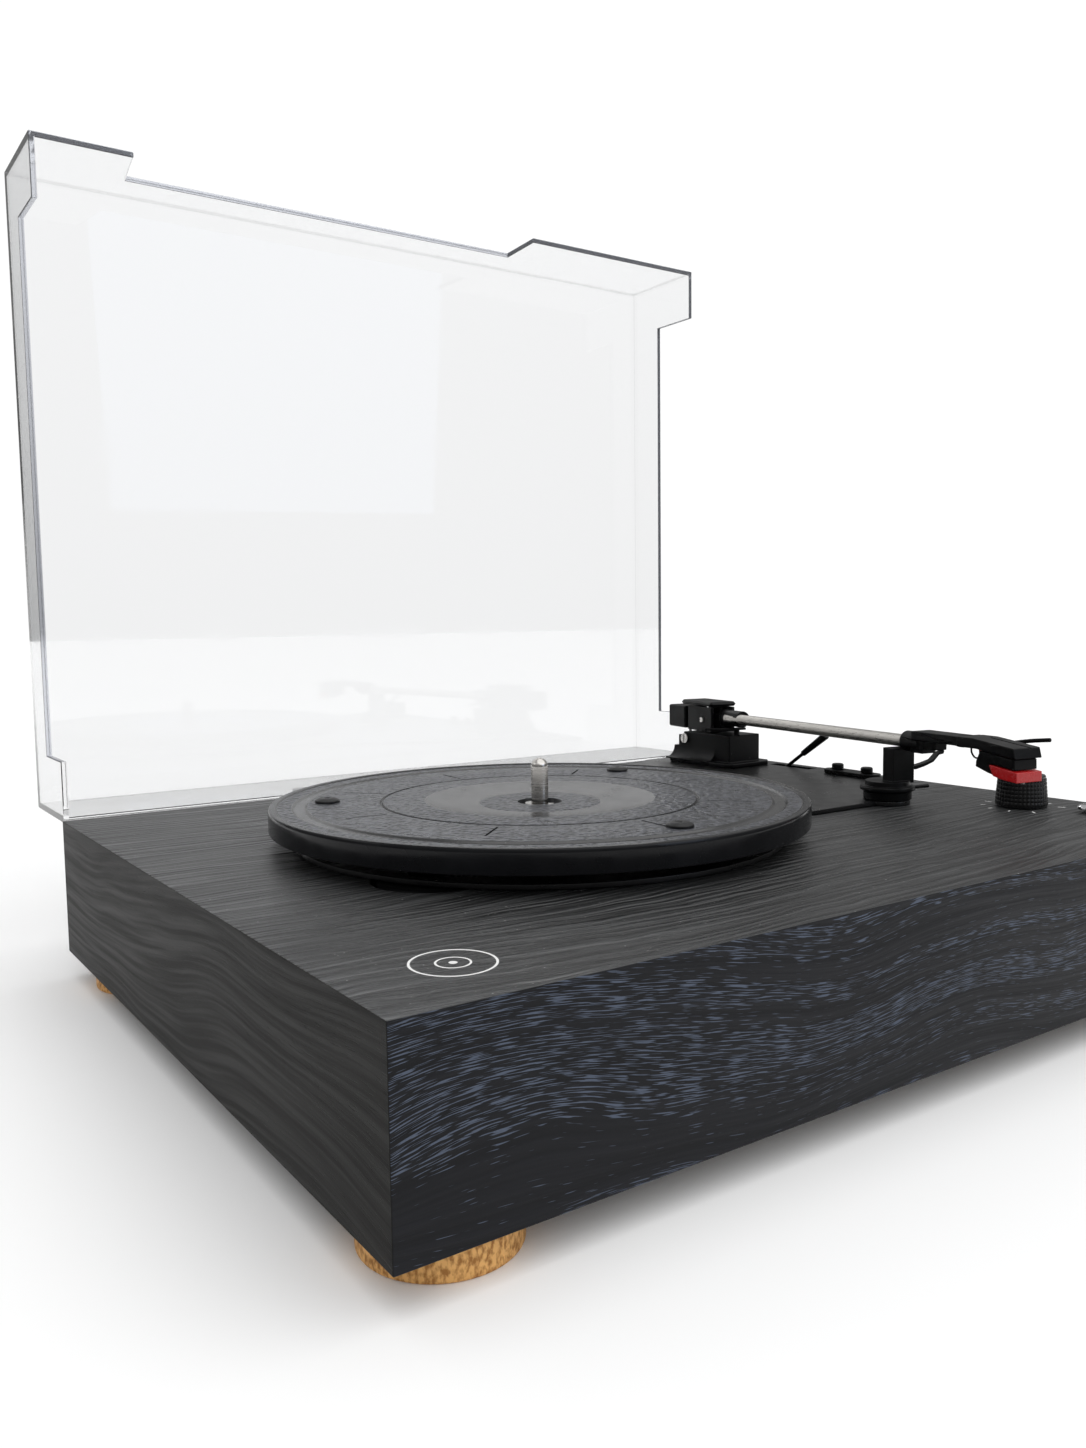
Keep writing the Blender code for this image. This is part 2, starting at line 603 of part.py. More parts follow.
def make_platter(deck, washer_top):
    axis = empty("platter_axis", deck, (*SPINDLE, 0))
    underside = PLATTER_SURFACE - PLATTER_PLATE
    low_underside = HUB_TOP - 0.0024
    edge = 0.0012
    dish = [(HUB_RADIUS + (DISH_RADIUS - HUB_RADIUS) * t,
             HUB_TOP + (PLATTER_SURFACE - HUB_TOP) * t ** 2.2)
            for t in (k / 3 for k in range(4))]
    top = [
        (SPINDLE_RADIUS + RUN_GAP, hub_seat()), (HUB_RECESS, hub_seat()),
        (HUB_RECESS + 0.0006, HUB_TOP + 0.0003), (HUB_RADIUS - 0.001, HUB_TOP + 0.0003),
        *dish,
        (0.0643, PLATTER_SURFACE), (0.0650, PLATTER_SURFACE - 0.0008),
        (0.0657, PLATTER_SURFACE),
        (0.0945, PLATTER_SURFACE), (0.0955, PLATTER_SURFACE - 0.0009),
        (0.0995, PLATTER_SURFACE - 0.0009), (0.1005, PLATTER_SURFACE),
        (PLATTER_RADIUS - 0.0034, PLATTER_SURFACE),
        (PLATTER_RADIUS - 0.0028, PLATTER_TOP), (PLATTER_RADIUS - edge, PLATTER_TOP),
        (PLATTER_RADIUS, PLATTER_TOP - edge)]
    ring_inner = BELT_RING_RADIUS - BELT_RING_WALL
    under = [
        (PLATTER_RADIUS, PLATTER_BOTTOM), (PLATTER_RADIUS - 0.0030, PLATTER_BOTTOM),
        (PLATTER_RADIUS - 0.0034, underside), (BELT_RING_RADIUS, underside),
        (BELT_RING_RADIUS, BELT_BOTTOM - 0.0008), (ring_inner, BELT_BOTTOM - 0.0008),
        (ring_inner, underside), (HUB_RADIUS + 0.018, underside),
        (HUB_RADIUS + 0.008, low_underside), (0.0095, low_underside),
        (0.0095, washer_top + SEAT_GAP), (SPINDLE_RADIUS + RUN_GAP, washer_top + SEAT_GAP)]
    turned("platter", [*top, *under], black_plastic(), axis, steps=48, ring=True)
    rubber = material("pad_rubber", (0.02, 0.02, 0.02), 0.6)
    for k in range(PAD_COUNT):
        spot = polar(30 + 360 / PAD_COUNT * k, PAD_CIRCLE, (0, 0))
        turned(f"platter_pad_{k + 1}", [
            (0, PAD_HEIGHT - 0.0006), (0.0009, PAD_HEIGHT - 0.0006), (0.0013, PAD_HEIGHT),
            (PAD_RADIUS - 0.0014, PAD_HEIGHT), (PAD_RADIUS, PAD_HEIGHT - 0.0009),
            (PAD_RADIUS, 0), (0, 0)],
            rubber, axis, (*spot, PLATTER_SURFACE + SEAT_GAP), steps=16)


def make_electronics(deck):
    board_top = -PLINTH_HEIGHT + BASE_BOARD + 0.0085
    low, high = (0.225, 0.215), (0.345, 0.285)
    board = add("circuit_board", box_mesh(
        "circuit_board", (*low, board_top - 0.0016), (*high, board_top)),
        material("circuit_board", (0.02, 0.16, 0.06), 0.5), deck)
    post_bottom = -PLINTH_HEIGHT + BASE_BOARD + SEAT_GAP
    for x in (low[0] + 0.005, high[0] - 0.005):
        for y in (low[1] + 0.005, high[1] - 0.005):
            join(board, placed(rod_mesh("post", 0.0025, post_bottom, board_top - 0.001, 12), x, y))
    for x, y, width, depth, height in (
            (0.250, 0.240, 0.012, 0.009, 0.004), (0.285, 0.235, 0.016, 0.016, 0.010),
            (0.320, 0.262, 0.010, 0.010, 0.013), (0.262, 0.268, 0.020, 0.008, 0.009)):
        join(board, box_mesh("chip", (x - width / 2, y - depth / 2, board_top - 0.0005),
                             (x + width / 2, y + depth / 2, board_top + height)))


# ---------------------------------------------------------------- controls

def make_knob(deck):
    under = -BOARD - SEAT_GAP
    pot = add("volume_pot", box_mesh(
        "volume_pot", (-0.0085, -0.0085, under - 0.008), (0.0085, 0.0085, under)),
        material("zinc", (0.5, 0.5, 0.5), 0.45, 1.0), deck, (KNOB_X, KNOB_Y, 0))
    bush_top = 0.001
    join(pot, rod_mesh("bush", POT_BUSH_RADIUS, under - 0.001, bush_top))
    shaft_radius = 0.002
    shaft_bottom = under - 0.004
    cut(pot, rod_mesh("bore", shaft_radius + RUN_GAP, shaft_bottom - RUN_GAP, 0.01, 16))
    axis = empty("knob_axis", deck, (KNOB_X, KNOB_Y, 0))
    low = SEAT_GAP + 0.0004
    shaft_top = KNOB_HEIGHT * 0.7
    add("volume_shaft", rod_mesh("volume_shaft", shaft_radius, shaft_bottom, shaft_top, 16),
        steel(), axis)
    knob = turned("volume_knob", [
        (0, KNOB_HEIGHT), (KNOB_RADIUS - 0.0022, KNOB_HEIGHT),
        (KNOB_RADIUS - 0.0012, KNOB_HEIGHT - 0.0008), (KNOB_RADIUS, low + 0.0012),
        (KNOB_RADIUS, low), (0, low)], black_plastic(), axis, steps=48)
    cut(knob, rod_mesh("recess", KNOB_RADIUS * 0.55, low - 0.01, bush_top + 0.001),
        rod_mesh("bore", shaft_radius + SEAT_GAP, low - 0.01, shaft_top + SEAT_GAP, 16))
    pointer = box_mesh("pointer", (-0.0006, KNOB_RADIUS * 0.45, KNOB_HEIGHT - 0.0005),
                       (0.0006, KNOB_RADIUS - 0.0026, KNOB_HEIGHT + 0.01))
    cut(knob, pointer)


def make_button(deck):
    """A round push button whose stem reaches its switch under the deck."""
    travel = 0.0012
    axis = empty("button_axis", deck, (BUTTON_X, BUTTON_Y, 0))
    under = -BOARD - SEAT_GAP
    cap_low = SEAT_GAP + travel
    cap_top = cap_low + 0.0022
    turned("mode_button", [
        (0, cap_top), (BUTTON_RADIUS - 0.0010, cap_top), (BUTTON_RADIUS, cap_top - 0.0008),
        (BUTTON_RADIUS, cap_low), (BUTTON_STEM_RADIUS, cap_low),
        (BUTTON_STEM_RADIUS, under - 0.001), (0, under - 0.001)],
        material("chrome", (0.85, 0.85, 0.86), 0.12, 1.0), axis, steps=24)
    switch = add("button_switch", box_mesh(
        "button_switch", (-0.006, -0.006, under - 0.009), (0.006, 0.006, under)),
        black_plastic(), deck, (BUTTON_X, BUTTON_Y, 0))
    cut(switch, rod_mesh("well", BUTTON_STEM_RADIUS + RUN_GAP,
                         under - 0.001 - travel - SEAT_GAP, 0.01, 16))


def make_switches(deck):
    """A raised bezel with the speed selector and the auto-stop slider."""
    place = empty("switch_frame", deck, (SWITCH_X, SWITCH_Y, 0),
                  (0, 0, math.radians(SWITCH_TURN_DEG)))
    low, high = PLATE_TOP + SEAT_GAP, PLATE_TOP + 0.0024
    stem = 0.0014
    studs = (("speed_slider", 0.0104, SPEED_TRAVEL, SPEED_TRAVEL),
             ("autostop_slider", -0.0104, 0.0, STOP_TRAVEL))
    slots = [rectangle((0, y + (back - front) / 2), 2 * stem + 2 * RUN_GAP,
                       back + front + 2 * stem + 2 * RUN_GAP) for _, y, back, front in studs]
    end = SWITCH_WIDTH / 2
    outline = [*arc((0, SWITCH_LENGTH / 2 - end), end, 0, 180, 9),
               *arc((0, end - SWITCH_LENGTH / 2), end, 180, 360, 9)]
    add("switch_bezel", prism_mesh("switch_bezel", [outline, *slots], low, high),
        black_plastic(), place)
    for name, y, _, _ in studs:
        axis = empty(f"{name}_axis", place, (0, y, 0))
        slider = turned(name, [
            (0, high + 0.0032), (0.0026, high + 0.0032), (0.0032, high + 0.0026),
            (0.0032, high + SEAT_GAP), (stem * 0.98, high + SEAT_GAP),
            (stem * 0.98, -0.004), (0, -0.004)], black_plastic(), axis, steps=20)
        # The carriage runs in the slot under the plate.
        join(slider, box_mesh("carriage", (-0.0025, -0.0030, -0.006), (0.0025, 0.0030, 0)))


# ---------------------------------------------------------------- tonearm

def make_pedestal(deck):
    """The arm's stand: a flange, a flared foot and a column with the shaft's bore."""
    half_w, half_l = PEDESTAL_WIDTH / 2, PEDESTAL_LENGTH / 2
    flange_w, flange_l, flange_top = 0.036, 0.054, PLATE_TOP + 0.0026
    centre = PEDESTAL_Y - ARM_Y
    stand = add("arm_pedestal", box_mesh(
        "arm_pedestal", (-half_w, centre - half_l, flange_top - 0.001),
        (half_w, centre + half_l, PEDESTAL_TOP)), black_plastic(), deck, (ARM_X, ARM_Y, 0))
    flare = 0.007
    side = [(half_w + flare * (1 - math.sin(a)), flange_top + flare * (1 - math.cos(a)))
            for a in (math.radians(15 * k) for k in range(7))]
    skirt = [(-x, z) for x, z in reversed(side)]
    outline = [(half_w + flare, flange_top - 0.0005), *side, *skirt,
               (-half_w - flare, flange_top - 0.0005)]
    foot = prism_mesh("foot", [outline], -half_l - 0.004, half_l - 0.012, UPRIGHT)
    placed(foot, 0, centre)
    flange = prism_mesh("flange", [
        [(x * flange_w / 2 + dx, centre + y * flange_l / 2 + dy)
         for x, y, dx, dy in ((1, -1, 0, 0.004), (1, 1, 0, -0.004), (1, 1, -0.004, 0),
                              (-1, 1, 0.004, 0), (-1, 1, 0, -0.004), (-1, -1, 0, 0.004),
                              (-1, -1, 0.004, 0), (1, -1, -0.004, 0))]],
        PLATE_TOP + SEAT_GAP, flange_top)
    join(stand, foot, flange)
    bore = ARM_SHAFT_RADIUS + RUN_GAP
    cut(stand, rod_mesh("bore", bore, -0.01, 0.05))
    lift_bore = rod_mesh("lift_bore", CUE_POST_RADIUS + RUN_GAP, -0.01, 0.05, 16)
    cut(stand, placed(lift_bore, CUE_POST[0] - ARM_X, CUE_POST[1] - ARM_Y))
    # The rear of the column is lower, so that the tail clears it when the arm is lifted.
    cut(stand, box_mesh("rear_step", (-0.05, 0.0135, PEDESTAL_TOP - 0.002),
                        (0.05, 0.05, PEDESTAL_TOP + 0.01)))
    screw_x = -half_w - SEAT_GAP
    head = rod_mesh("pedestal_screw", 0.0030, -0.0012, 0, 20, turn=ALONG_X)
    screw = add("pedestal_screw", head, steel(), deck,
                (ARM_X + screw_x, PEDESTAL_Y + 0.0155, 0.0165))
    cut(screw, box_mesh("slot", (-0.005, -0.0004, -0.004), (-0.0008, 0.0004, 0.004)))


def make_rest(deck):
    """The arm rest: a round base, a post and a cradle with one raised lip."""
    frame = empty("rest_frame", deck, (*REST, 0), (0, 0, ARM_TURN))
    low = PLATE_TOP + SEAT_GAP
    rest = turned("arm_rest", [
        (0, 0.0112), (0.0102, 0.0112), (0.0104, 0.0090), (0.0122, 0.0088),
        (0.0126, 0.0082), (0.0126, 0.0070), (0.0110, 0.0062), (0.0110, low), (0, low)],
        black_plastic(), deck, (*REST_BASE, 0), steps=28)
    saddle = ARM_AXIS_Z - TUBE_RADIUS - SEAT_GAP
    half_l, half_w = POST_LENGTH / 2, POST_WIDTH / 2
    post = box_mesh("post", (-half_l, -half_w, 0.0100), (half_l, half_w, saddle))
    lip = box_mesh("lip", (-half_l, TUBE_RADIUS + 0.0008, saddle - 0.002),
                   (-half_l + 0.003, half_w, saddle + 0.004))
    lever = placed(rod_mesh("lever", 0.0007, 0, 0.0120, 10, 0.0009, ALONG_Y),
                   0.0030, 0.0035, 0.0077)
    ear = box_mesh("ear", (-0.0026, half_w - 0.001, CLIP_PIVOT_Z - 0.002),
                   (-0.0012, half_w + 0.0036, CLIP_PIVOT_Z + 0.002))
    pin_hole = placed(rod_mesh("pin_hole", CLIP_PIN_RADIUS + RUN_GAP, -0.004, 0.001, 12,
                               turn=ALONG_X), 0, CLIP_PIVOT_W, CLIP_PIVOT_Z)
    for mesh in (post, lip, lever, ear, pin_hole):
        placed(mesh, REST[0] - REST_BASE[0], REST[1] - REST_BASE[1], 0, ARM_TURN)
    join(rest, post, lip, lever, ear)
    cut(rest, pin_hole)
    # The clip is drawn closed over the tube and hangs open on its hinge.
    hinge = empty("clip_hinge", frame, (0, CLIP_PIVOT_W, CLIP_PIVOT_Z),
                  (math.radians(-CLIP_OPEN_DEG), 0, 0))
    inner_w, over = TUBE_RADIUS + 0.0009, ARM_AXIS_Z + TUBE_RADIUS + 0.0005
    thick = 0.0012
    shape = [(CLIP_PIVOT_W - 0.0008, CLIP_PIVOT_Z - 0.0012),
             (CLIP_PIVOT_W + 0.0010, CLIP_PIVOT_Z - 0.0006),
             (CLIP_PIVOT_W + 0.0006, CLIP_PIVOT_Z + 0.005),
             (half_w + 0.0016, saddle + 0.0009),
             (inner_w + thick, over - 0.002), (inner_w + thick, over + thick * 0.5),
             (inner_w + 0.0004, over + thick), (-TUBE_RADIUS * 0.9, over + thick),
             (-TUBE_RADIUS * 1.2, over + thick * 0.4), (-TUBE_RADIUS * 0.9, over),
             (inner_w - 0.0002, over), (inner_w, over - 0.002),
             (half_w + 0.0004, saddle + 0.0006), (CLIP_PIVOT_W - 0.0010, CLIP_PIVOT_Z + 0.0045)]
    outline = [(w - CLIP_PIVOT_W, z - CLIP_PIVOT_Z) for w, z in shape]
    # Drawn in (w, z): X goes to w and Y to z, with the thickness along u.
    stand = Matrix(((0, 0, 1, 0), (1, 0, 0, 0), (0, 1, 0, 0), (0, 0, 0, 1)))
    clip = add("arm_clip", prism_mesh("arm_clip", [outline], -0.0004, 0.0030, stand),
               black_plastic(), hinge)
    join(clip, rod_mesh("pin", CLIP_PIN_RADIUS, -0.0030, 0.0008, 12, turn=ALONG_X))


def make_arm(deck):
    swing = empty("arm_swing_axis", deck, (ARM_X, ARM_Y, 0), (0, 0, ARM_TURN))
    lift = empty("arm_lift_axis", swing, (0, 0, ARM_PITCH_Z))
    make_fork(swing)
    make_tail(lift)
    make_headshell(lift)
    make_cartridge(lift)


def make_fork(swing):
    """The turning fork: its shaft, floor and two cheeks, with the cap and pivot screws."""
    inner = FORK_INNER / 2
    outer = inner + FORK_WALL
    fork = add("arm_fork", box_mesh(
        "arm_fork", (-FORK_REAR, -outer, FORK_FLOOR), (FORK_FRONT, outer, FORK_FLOOR + 0.0018)),
        black_plastic(), swing)
    for side in (-1, 1):
        low, high = sorted((side * inner, side * outer))
        join(fork, box_mesh("cheek", (-FORK_REAR, low, FORK_FLOOR + 0.0009),
                            (FORK_FRONT, high, CAP_BOTTOM - SEAT_GAP)))
    join(fork, rod_mesh("shaft", ARM_SHAFT_RADIUS, -0.018, FORK_FLOOR + 0.001))
    drill = rod_mesh("drill", 0.0016 + RUN_GAP, -0.05, 0.05, 16, turn=ALONG_Y)
    cut(fork, placed(drill, 0, 0, ARM_PITCH_Z))
    brim, cap_w, slope = 0.0012, outer + 0.0010, 0.0022
    cap = add("arm_cap", box_mesh(
        "arm_cap", (-FORK_REAR - 6 * brim, -cap_w, CAP_BOTTOM),
        (FORK_FRONT + brim, cap_w, CAP_BOTTOM + CAP_THICKNESS)), black_plastic(), swing)
    rounded(cap, slope)
    cut(cap, box_mesh("relief", (-0.05, -0.05, CAP_BOTTOM - 0.01),
                      (0.05, 0.05, CAP_BOTTOM + 0.0002)))
    for name, side in (("pivot_screw_left", -1), ("pivot_screw_right", 1)):
        tip, head = sorted((side * (inner - 0.0014), side * (outer + 0.0008)))
        screw = add(name, rod_mesh(name, 0.0016, tip, head, 16, turn=ALONG_Y), steel(),
                    swing, (0, 0, ARM_PITCH_Z))
        groove = sorted((side * (outer + 0.0004), side * (outer + 0.002)))
        cut(screw, box_mesh("slot", (-0.002, groove[0], -0.0003), (0.002, groove[1], 0.0003)))


def make_tail(lift):
    """The arm's tail: its counterweight box, the neck in the fork and the tube's collar."""
    block_end, block_start = -0.0390, -FORK_REAR - 0.0035
    drop = ARM_PITCH_Z
    tail = add("arm_tail", box_mesh(
        "arm_tail", (block_end, -0.0082, 0.0215 - drop), (block_start, 0.0082, 0.0350 - drop)),
        black_plastic(), lift)
    rounded(tail, 0.0008)
    neck_half, collar_radius, collar_end = 0.0042, 0.0047, 0.031
    axis_z = ARM_AXIS_Z - drop
    neck = box_mesh("neck", (block_start - 0.001, -neck_half, 0.0248 - drop),
                    (FORK_FRONT + 0.0040, neck_half, 0.0316 - drop))
    collar = rod_mesh("collar", collar_radius, FORK_FRONT + 0.0030, collar_end, 24,
                      turn=ALONG_X)
    join(tail, neck, placed(collar, 0, 0, axis_z))
    bore = placed(rod_mesh("bore", TUBE_RADIUS + SEAT_GAP, TUBE_START - SEAT_GAP, 0.06, 20,
                           turn=ALONG_X), 0, 0, axis_z)
    seats = [rod_mesh("seat", 0.0016 + RUN_GAP, *ends, 16, turn=ALONG_Y)
             for ends in ((-0.006, -neck_half + 0.002), (neck_half - 0.002, 0.006))]
    cut(tail, bore, *seats)
    tube("arm_tube", [(TUBE_START, 0, axis_z), (SOCKET_END - 0.003, 0, axis_z)],
         TUBE_RADIUS, material("brushed_tube", (0.55, 0.54, 0.52), 0.35, 1.0), lift, sides=3)


def make_headshell(lift):
    """The head: a socket on the tube, a bridge and the sloping front plate."""
    drop = ARM_PITCH_Z
    axis_z = ARM_AXIS_Z - drop
    half = SHELL_WIDTH / 2
    plate = [(0.2050, 0.0362 - drop), (0.2140, 0.0362 - drop),
             (ARM_LENGTH - 0.0012, 0.0338 - drop), (ARM_LENGTH, 0.0294 - drop),
             (0.2160, 0.0318 - drop), (0.2050, 0.0318 - drop)]
    shell = add("headshell", prism_mesh(
        "headshell", [plate], -half, half, UPRIGHT), black_plastic(), lift)
    bridge = box_mesh("bridge", (SOCKET_END - 0.002, -0.0055, 0.0317 - drop),
                      (0.2070, 0.0055, 0.0359 - drop))
    socket = rod_mesh("socket", SOCKET_RADIUS, SOCKET_START, SOCKET_END + 0.001, 24,
                      turn=ALONG_X)
    placed(socket, 0, 0, axis_z + 0.0004)
    lug = box_mesh("lug", (SOCKET_END - 0.004, -0.0040, 0.0258 - drop),
                   (0.1805, 0.0040, 0.0330 - drop))
    plug = box_mesh("plug", (0.1800, -0.0034, 0.0280 - drop), (0.1880, 0.0034, 0.0330 - drop))
    join(shell, bridge, socket, lug, plug)
    bore = rod_mesh("bore", TUBE_RADIUS + SEAT_GAP, SOCKET_START - 0.01,
                    SOCKET_END - 0.003 + SEAT_GAP, 20, turn=ALONG_X)
    placed(bore, 0, 0, axis_z)
    groove = prism_mesh("groove", [[
        (0.2150, 0.0500 - drop), (0.2150, 0.0354 - drop), (ARM_LENGTH + 0.002, 0.0328 - drop),
        (ARM_LENGTH + 0.002, 0.0500 - drop)]], -0.0024, -0.0016, UPRIGHT)
    cut(shell, bore, groove)
    start = half + 2 * SEAT_GAP
    tube("finger_lift", [
        (0.2190, start, 0.0335 - drop), (0.2215, start + 0.0040, 0.0342 - drop),
        (0.2260, start + 0.0072, 0.0350 - drop), (0.2330, start + 0.0088, 0.0358 - drop)],
        0.0009, black_plastic(), lift, smooth=True)


def make_cartridge(lift):
    drop = ARM_PITCH_Z
    half = 0.0062
    body = [(0.2172, 0.0313 - drop), (0.2360, 0.0291 - drop), (0.2362, 0.0247 - drop),
            (0.2226, 0.0263 - drop), (0.2246, 0.0216 - drop), (0.2215, 0.0222 - drop),
            (0.2148, 0.0242 - drop), (0.2150, 0.0266 - drop)]
    add("cartridge", prism_mesh("cartridge", [body], -half, half, UPRIGHT),
        black_plastic(), lift)
    holder = [(0.2230, 0.0258 - drop), (0.2381, 0.0240 - drop), (0.2381, 0.0197 - drop),
              (0.2302, 0.0203 - drop), (0.2252, 0.0213 - drop)]
    add("stylus_holder", prism_mesh("stylus_holder", [holder], -0.0070, 0.0070, UPRIGHT),
        material("red_plastic", (0.55, 0.012, 0.015), 0.35), lift)
    slim = 0.0004
    lean = Matrix.Rotation(math.radians(90 + 9), 4, "Y")
    root = (0.2290, 0, 0.0199 - drop)
    needle = rod_mesh("stylus", slim, 0, 0.0065, 10, turn=lean)
    stylus = add("stylus", needle, steel(), lift, root)
    tip_z = 0.0187 - 0.0199
    tip = rod_mesh("tip", 0.00015, tip_z, tip_z + 0.0011, 8, 0.0005)
    join(stylus, placed(tip, 0.0062, 0, -0.0002))
    wires = ((-0.0024, 0.0, (0.016, 0.016, 0.016)), (0.0024, 0.0010, (0.5, 0.02, 0.02)))
    for k, (w, sag, colour) in enumerate(wires):
        tube(f"cartridge_lead_{k + 1}", [
            (0.2085, w, 0.0312 - drop), (0.2088, w, 0.0292 - drop - sag),
            (0.2105, w, 0.0274 - drop - sag), (0.2128, w, 0.0272 - drop - sag),
            (0.2145, w, 0.0278 - drop)], 0.0004,
            material(f"lead_{k + 1}", colour, 0.4), lift, smooth=True)


def make_cue(deck):
    """The cue lever and the curved platform that it raises under the arm."""
    axis = empty("cue_lever_axis", deck, (CUE_X, CUE_Y, CUE_Z),
                 (math.radians(90 - CUE_RISE_DEG), 0, 0))
    rod = 0.0010
    lever = add("cue_lever", rod_mesh("cue_lever", rod, -0.001, CUE_LENGTH - 0.002, 12),
                black_plastic(), axis)
    join(lever, rod_mesh("sleeve", 0.0017, CUE_LENGTH * 0.55, CUE_LENGTH, 12, 0.0022),
         rod_mesh("hub", 0.0024, -CUE_HUB_HALF, CUE_HUB_HALF, 16, turn=ALONG_X))
    top = ARM_AXIS_Z - 0.0047 - 0.0005
    platform = add("cue_platform", prism_mesh(
        "cue_platform", [[*arc((0, 0), CUE_POST_U + 0.002, -12, 44, 11),
                          *arc((0, 0), CUE_POST_U - 0.002, 44, -12, 11)]],
        top - 0.0013, top), black_plastic(), deck, (ARM_X, ARM_Y, 0),
        (0, 0, ARM_TURN - math.radians(32)))
    post = rod_mesh("post", CUE_POST_RADIUS, -0.016, top - 0.0005, 16)
    join(platform, placed(post, *polar(32, CUE_POST_U, (0, 0))))


# ---------------------------------------------------------------- dust cover

def make_cover(deck):
    """The clear cover, drawn closed in the hinge's frame and swung open with it."""
    hinge = empty("cover_hinge", deck, (PLINTH_WIDTH / 2, HINGE_Y, -HINGE_BELOW),
                  (math.radians(-COVER_OPEN_DEG), 0, 0))
    half = PLINTH_WIDTH / 2 - COVER_SIDE_INSET
    rear = -HINGE_BEHIND - COVER_REAR_INSET
    front = rear - COVER_DEPTH
    rim = HINGE_BELOW + COVER_RIM
    top = rim + COVER_HEIGHT
    clear = material("clear_acrylic", (0.93, 0.95, 0.96), 0.05, 0.0, 0.35)
    mesh = box_mesh("dust_cover", (-half, front, rim), (half, rear, top))
    shape = bmesh.new()
    shape.from_mesh(mesh)
    bmesh.ops.delete(shape, geom=[f for f in shape.faces if f.normal.z < -0.5],
                     context="FACES")
    shape.to_mesh(mesh)
    shape.free()
    cover = add("dust_cover", mesh, clear, hinge)
    wall = cover.modifiers.new("wall", "SOLIDIFY")
    wall.thickness = COVER_WALL
    wall.offset = -1
    wall.use_even_offset = True
    notch_top = top - COVER_BAND
    left, right = -half + COVER_LEFT_LEG, half - COVER_RIGHT_LEG
    past = 0.005
    front_notch = prism_mesh("front_notch", [[
        (left, rim - past), (right - COVER_LEG_SLANT * 0.5, rim - past), (right, notch_top),
        (left + COVER_LEG_SLANT, notch_top)]], -front - COVER_WALL - past, -front + past,
        UPRIGHT)
    side_notch = prism_mesh("side_notch", [[
        (front + COVER_SIDE_LEG, rim - past), (rear - COVER_SIDE_LEG, rim - past),
        (rear - COVER_SIDE_LEG, notch_top), (front + COVER_SIDE_LEG, notch_top)]],
        -half - past, half + past, Matrix(((0, 0, 1, 0), (1, 0, 0, 0), (0, 1, 0, 0),
                                           (0, 0, 0, 1))))
    cut(cover, front_notch, side_notch)
    for name, x in zip(("left", "right"), HINGE_X):
        make_hinge(deck, hinge, name, x, rear)


def make_hinge(deck, hinge, name, x, rear):
    """One hinge: a knuckled bracket on the plinth, its pin and the leaf on the cover."""
    x -= PLINTH_WIDTH / 2
    leaf_half = HINGE_WIDTH / 2
    barrel_half = leaf_half * 0.45
    barrel = HINGE_BARREL_RADIUS
    inner = rear + SEAT_GAP
    web_inner = SEAT_GAP - HINGE_BEHIND
    leaf = add(f"hinge_leaf_{name}", rod_mesh(
        f"hinge_leaf_{name}", barrel, -barrel_half, barrel_half, 20, turn=ALONG_X),
        black_plastic(), hinge, (x, 0, 0))
    join(leaf, box_mesh("web", (-barrel_half, web_inner, 0),
                        (barrel_half, web_inner + HINGE_LEAF, HINGE_BELOW + 0.006)),
         box_mesh("neck", (-barrel_half, web_inner + HINGE_LEAF * 0.5, 0),
                  (barrel_half, 0, barrel * 0.9)),
         box_mesh("leaf", (-leaf_half, inner, HINGE_BELOW + 0.004),
                  (leaf_half, inner + HINGE_LEAF, HINGE_BELOW + HINGE_LEAF_LENGTH)))
    cut(leaf, rod_mesh("bore", HINGE_PIN_RADIUS + RUN_GAP, -0.05, 0.05, 20, turn=ALONG_X))
    place = (x + PLINTH_WIDTH / 2, HINGE_Y, -HINGE_BELOW)
    wall = -HINGE_BEHIND + SEAT_GAP
    bracket = add(f"hinge_bracket_{name}", box_mesh(
        f"hinge_bracket_{name}", (-leaf_half, wall, -0.030), (leaf_half, wall + 0.0012, -0.0052)),
        black_plastic(), deck, place)
    for side in (-1, 1):
        low, high = sorted((side * (barrel_half + RUN_GAP), side * leaf_half))
        join(bracket, rod_mesh("knuckle", barrel, low, high, 20, turn=ALONG_X),
             box_mesh("ear", (low, wall + 0.0005, -0.0065), (high, barrel * 0.85, 0)),
             box_mesh("ear_foot", (low, wall + 0.0002, -0.018), (high, wall + 0.003, -0.006)))
    cut(bracket, rod_mesh("bore", HINGE_PIN_RADIUS + SEAT_GAP, -0.05, 0.05, 20, turn=ALONG_X))
    add(f"hinge_pin_{name}", rod_mesh(
        f"hinge_pin_{name}", HINGE_PIN_RADIUS, -leaf_half - 0.001, leaf_half + 0.001, 20,
        turn=ALONG_X), steel(), deck, place)


# ---------------------------------------------------------------- assembly

def main():
    deck = empty("deck_corner", None, (-PLINTH_WIDTH / 2, -OPEN_BACK / 2, DECK_Z))
    make_plinth(deck)
    make_feet(deck)
    make_jacks(deck)
    make_mechanism_plate(deck)
    washer_top = make_bearing(deck)
    make_motor(deck)
    make_belt(deck)
    make_platter(deck, washer_top)
    make_electronics(deck)
    make_knob(deck)
    make_button(deck)
    make_switches(deck)
    make_pedestal(deck)
    make_rest(deck)
    make_arm(deck)
    make_cue(deck)
    make_cover(deck)


main()
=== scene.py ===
"""Finished pieces for a record player: veneer, moulded plastic, acrylic and metal.

Run as a script, it loads the frame, builds every piece through its operator and stages the
player. Positions come from the frame's own boxes, in metres, with +Z up.
"""

import json
import math

import bmesh
import bpy
from bpy.props import FloatProperty, FloatVectorProperty, IntProperty, PointerProperty
from mathutils import Matrix, Vector

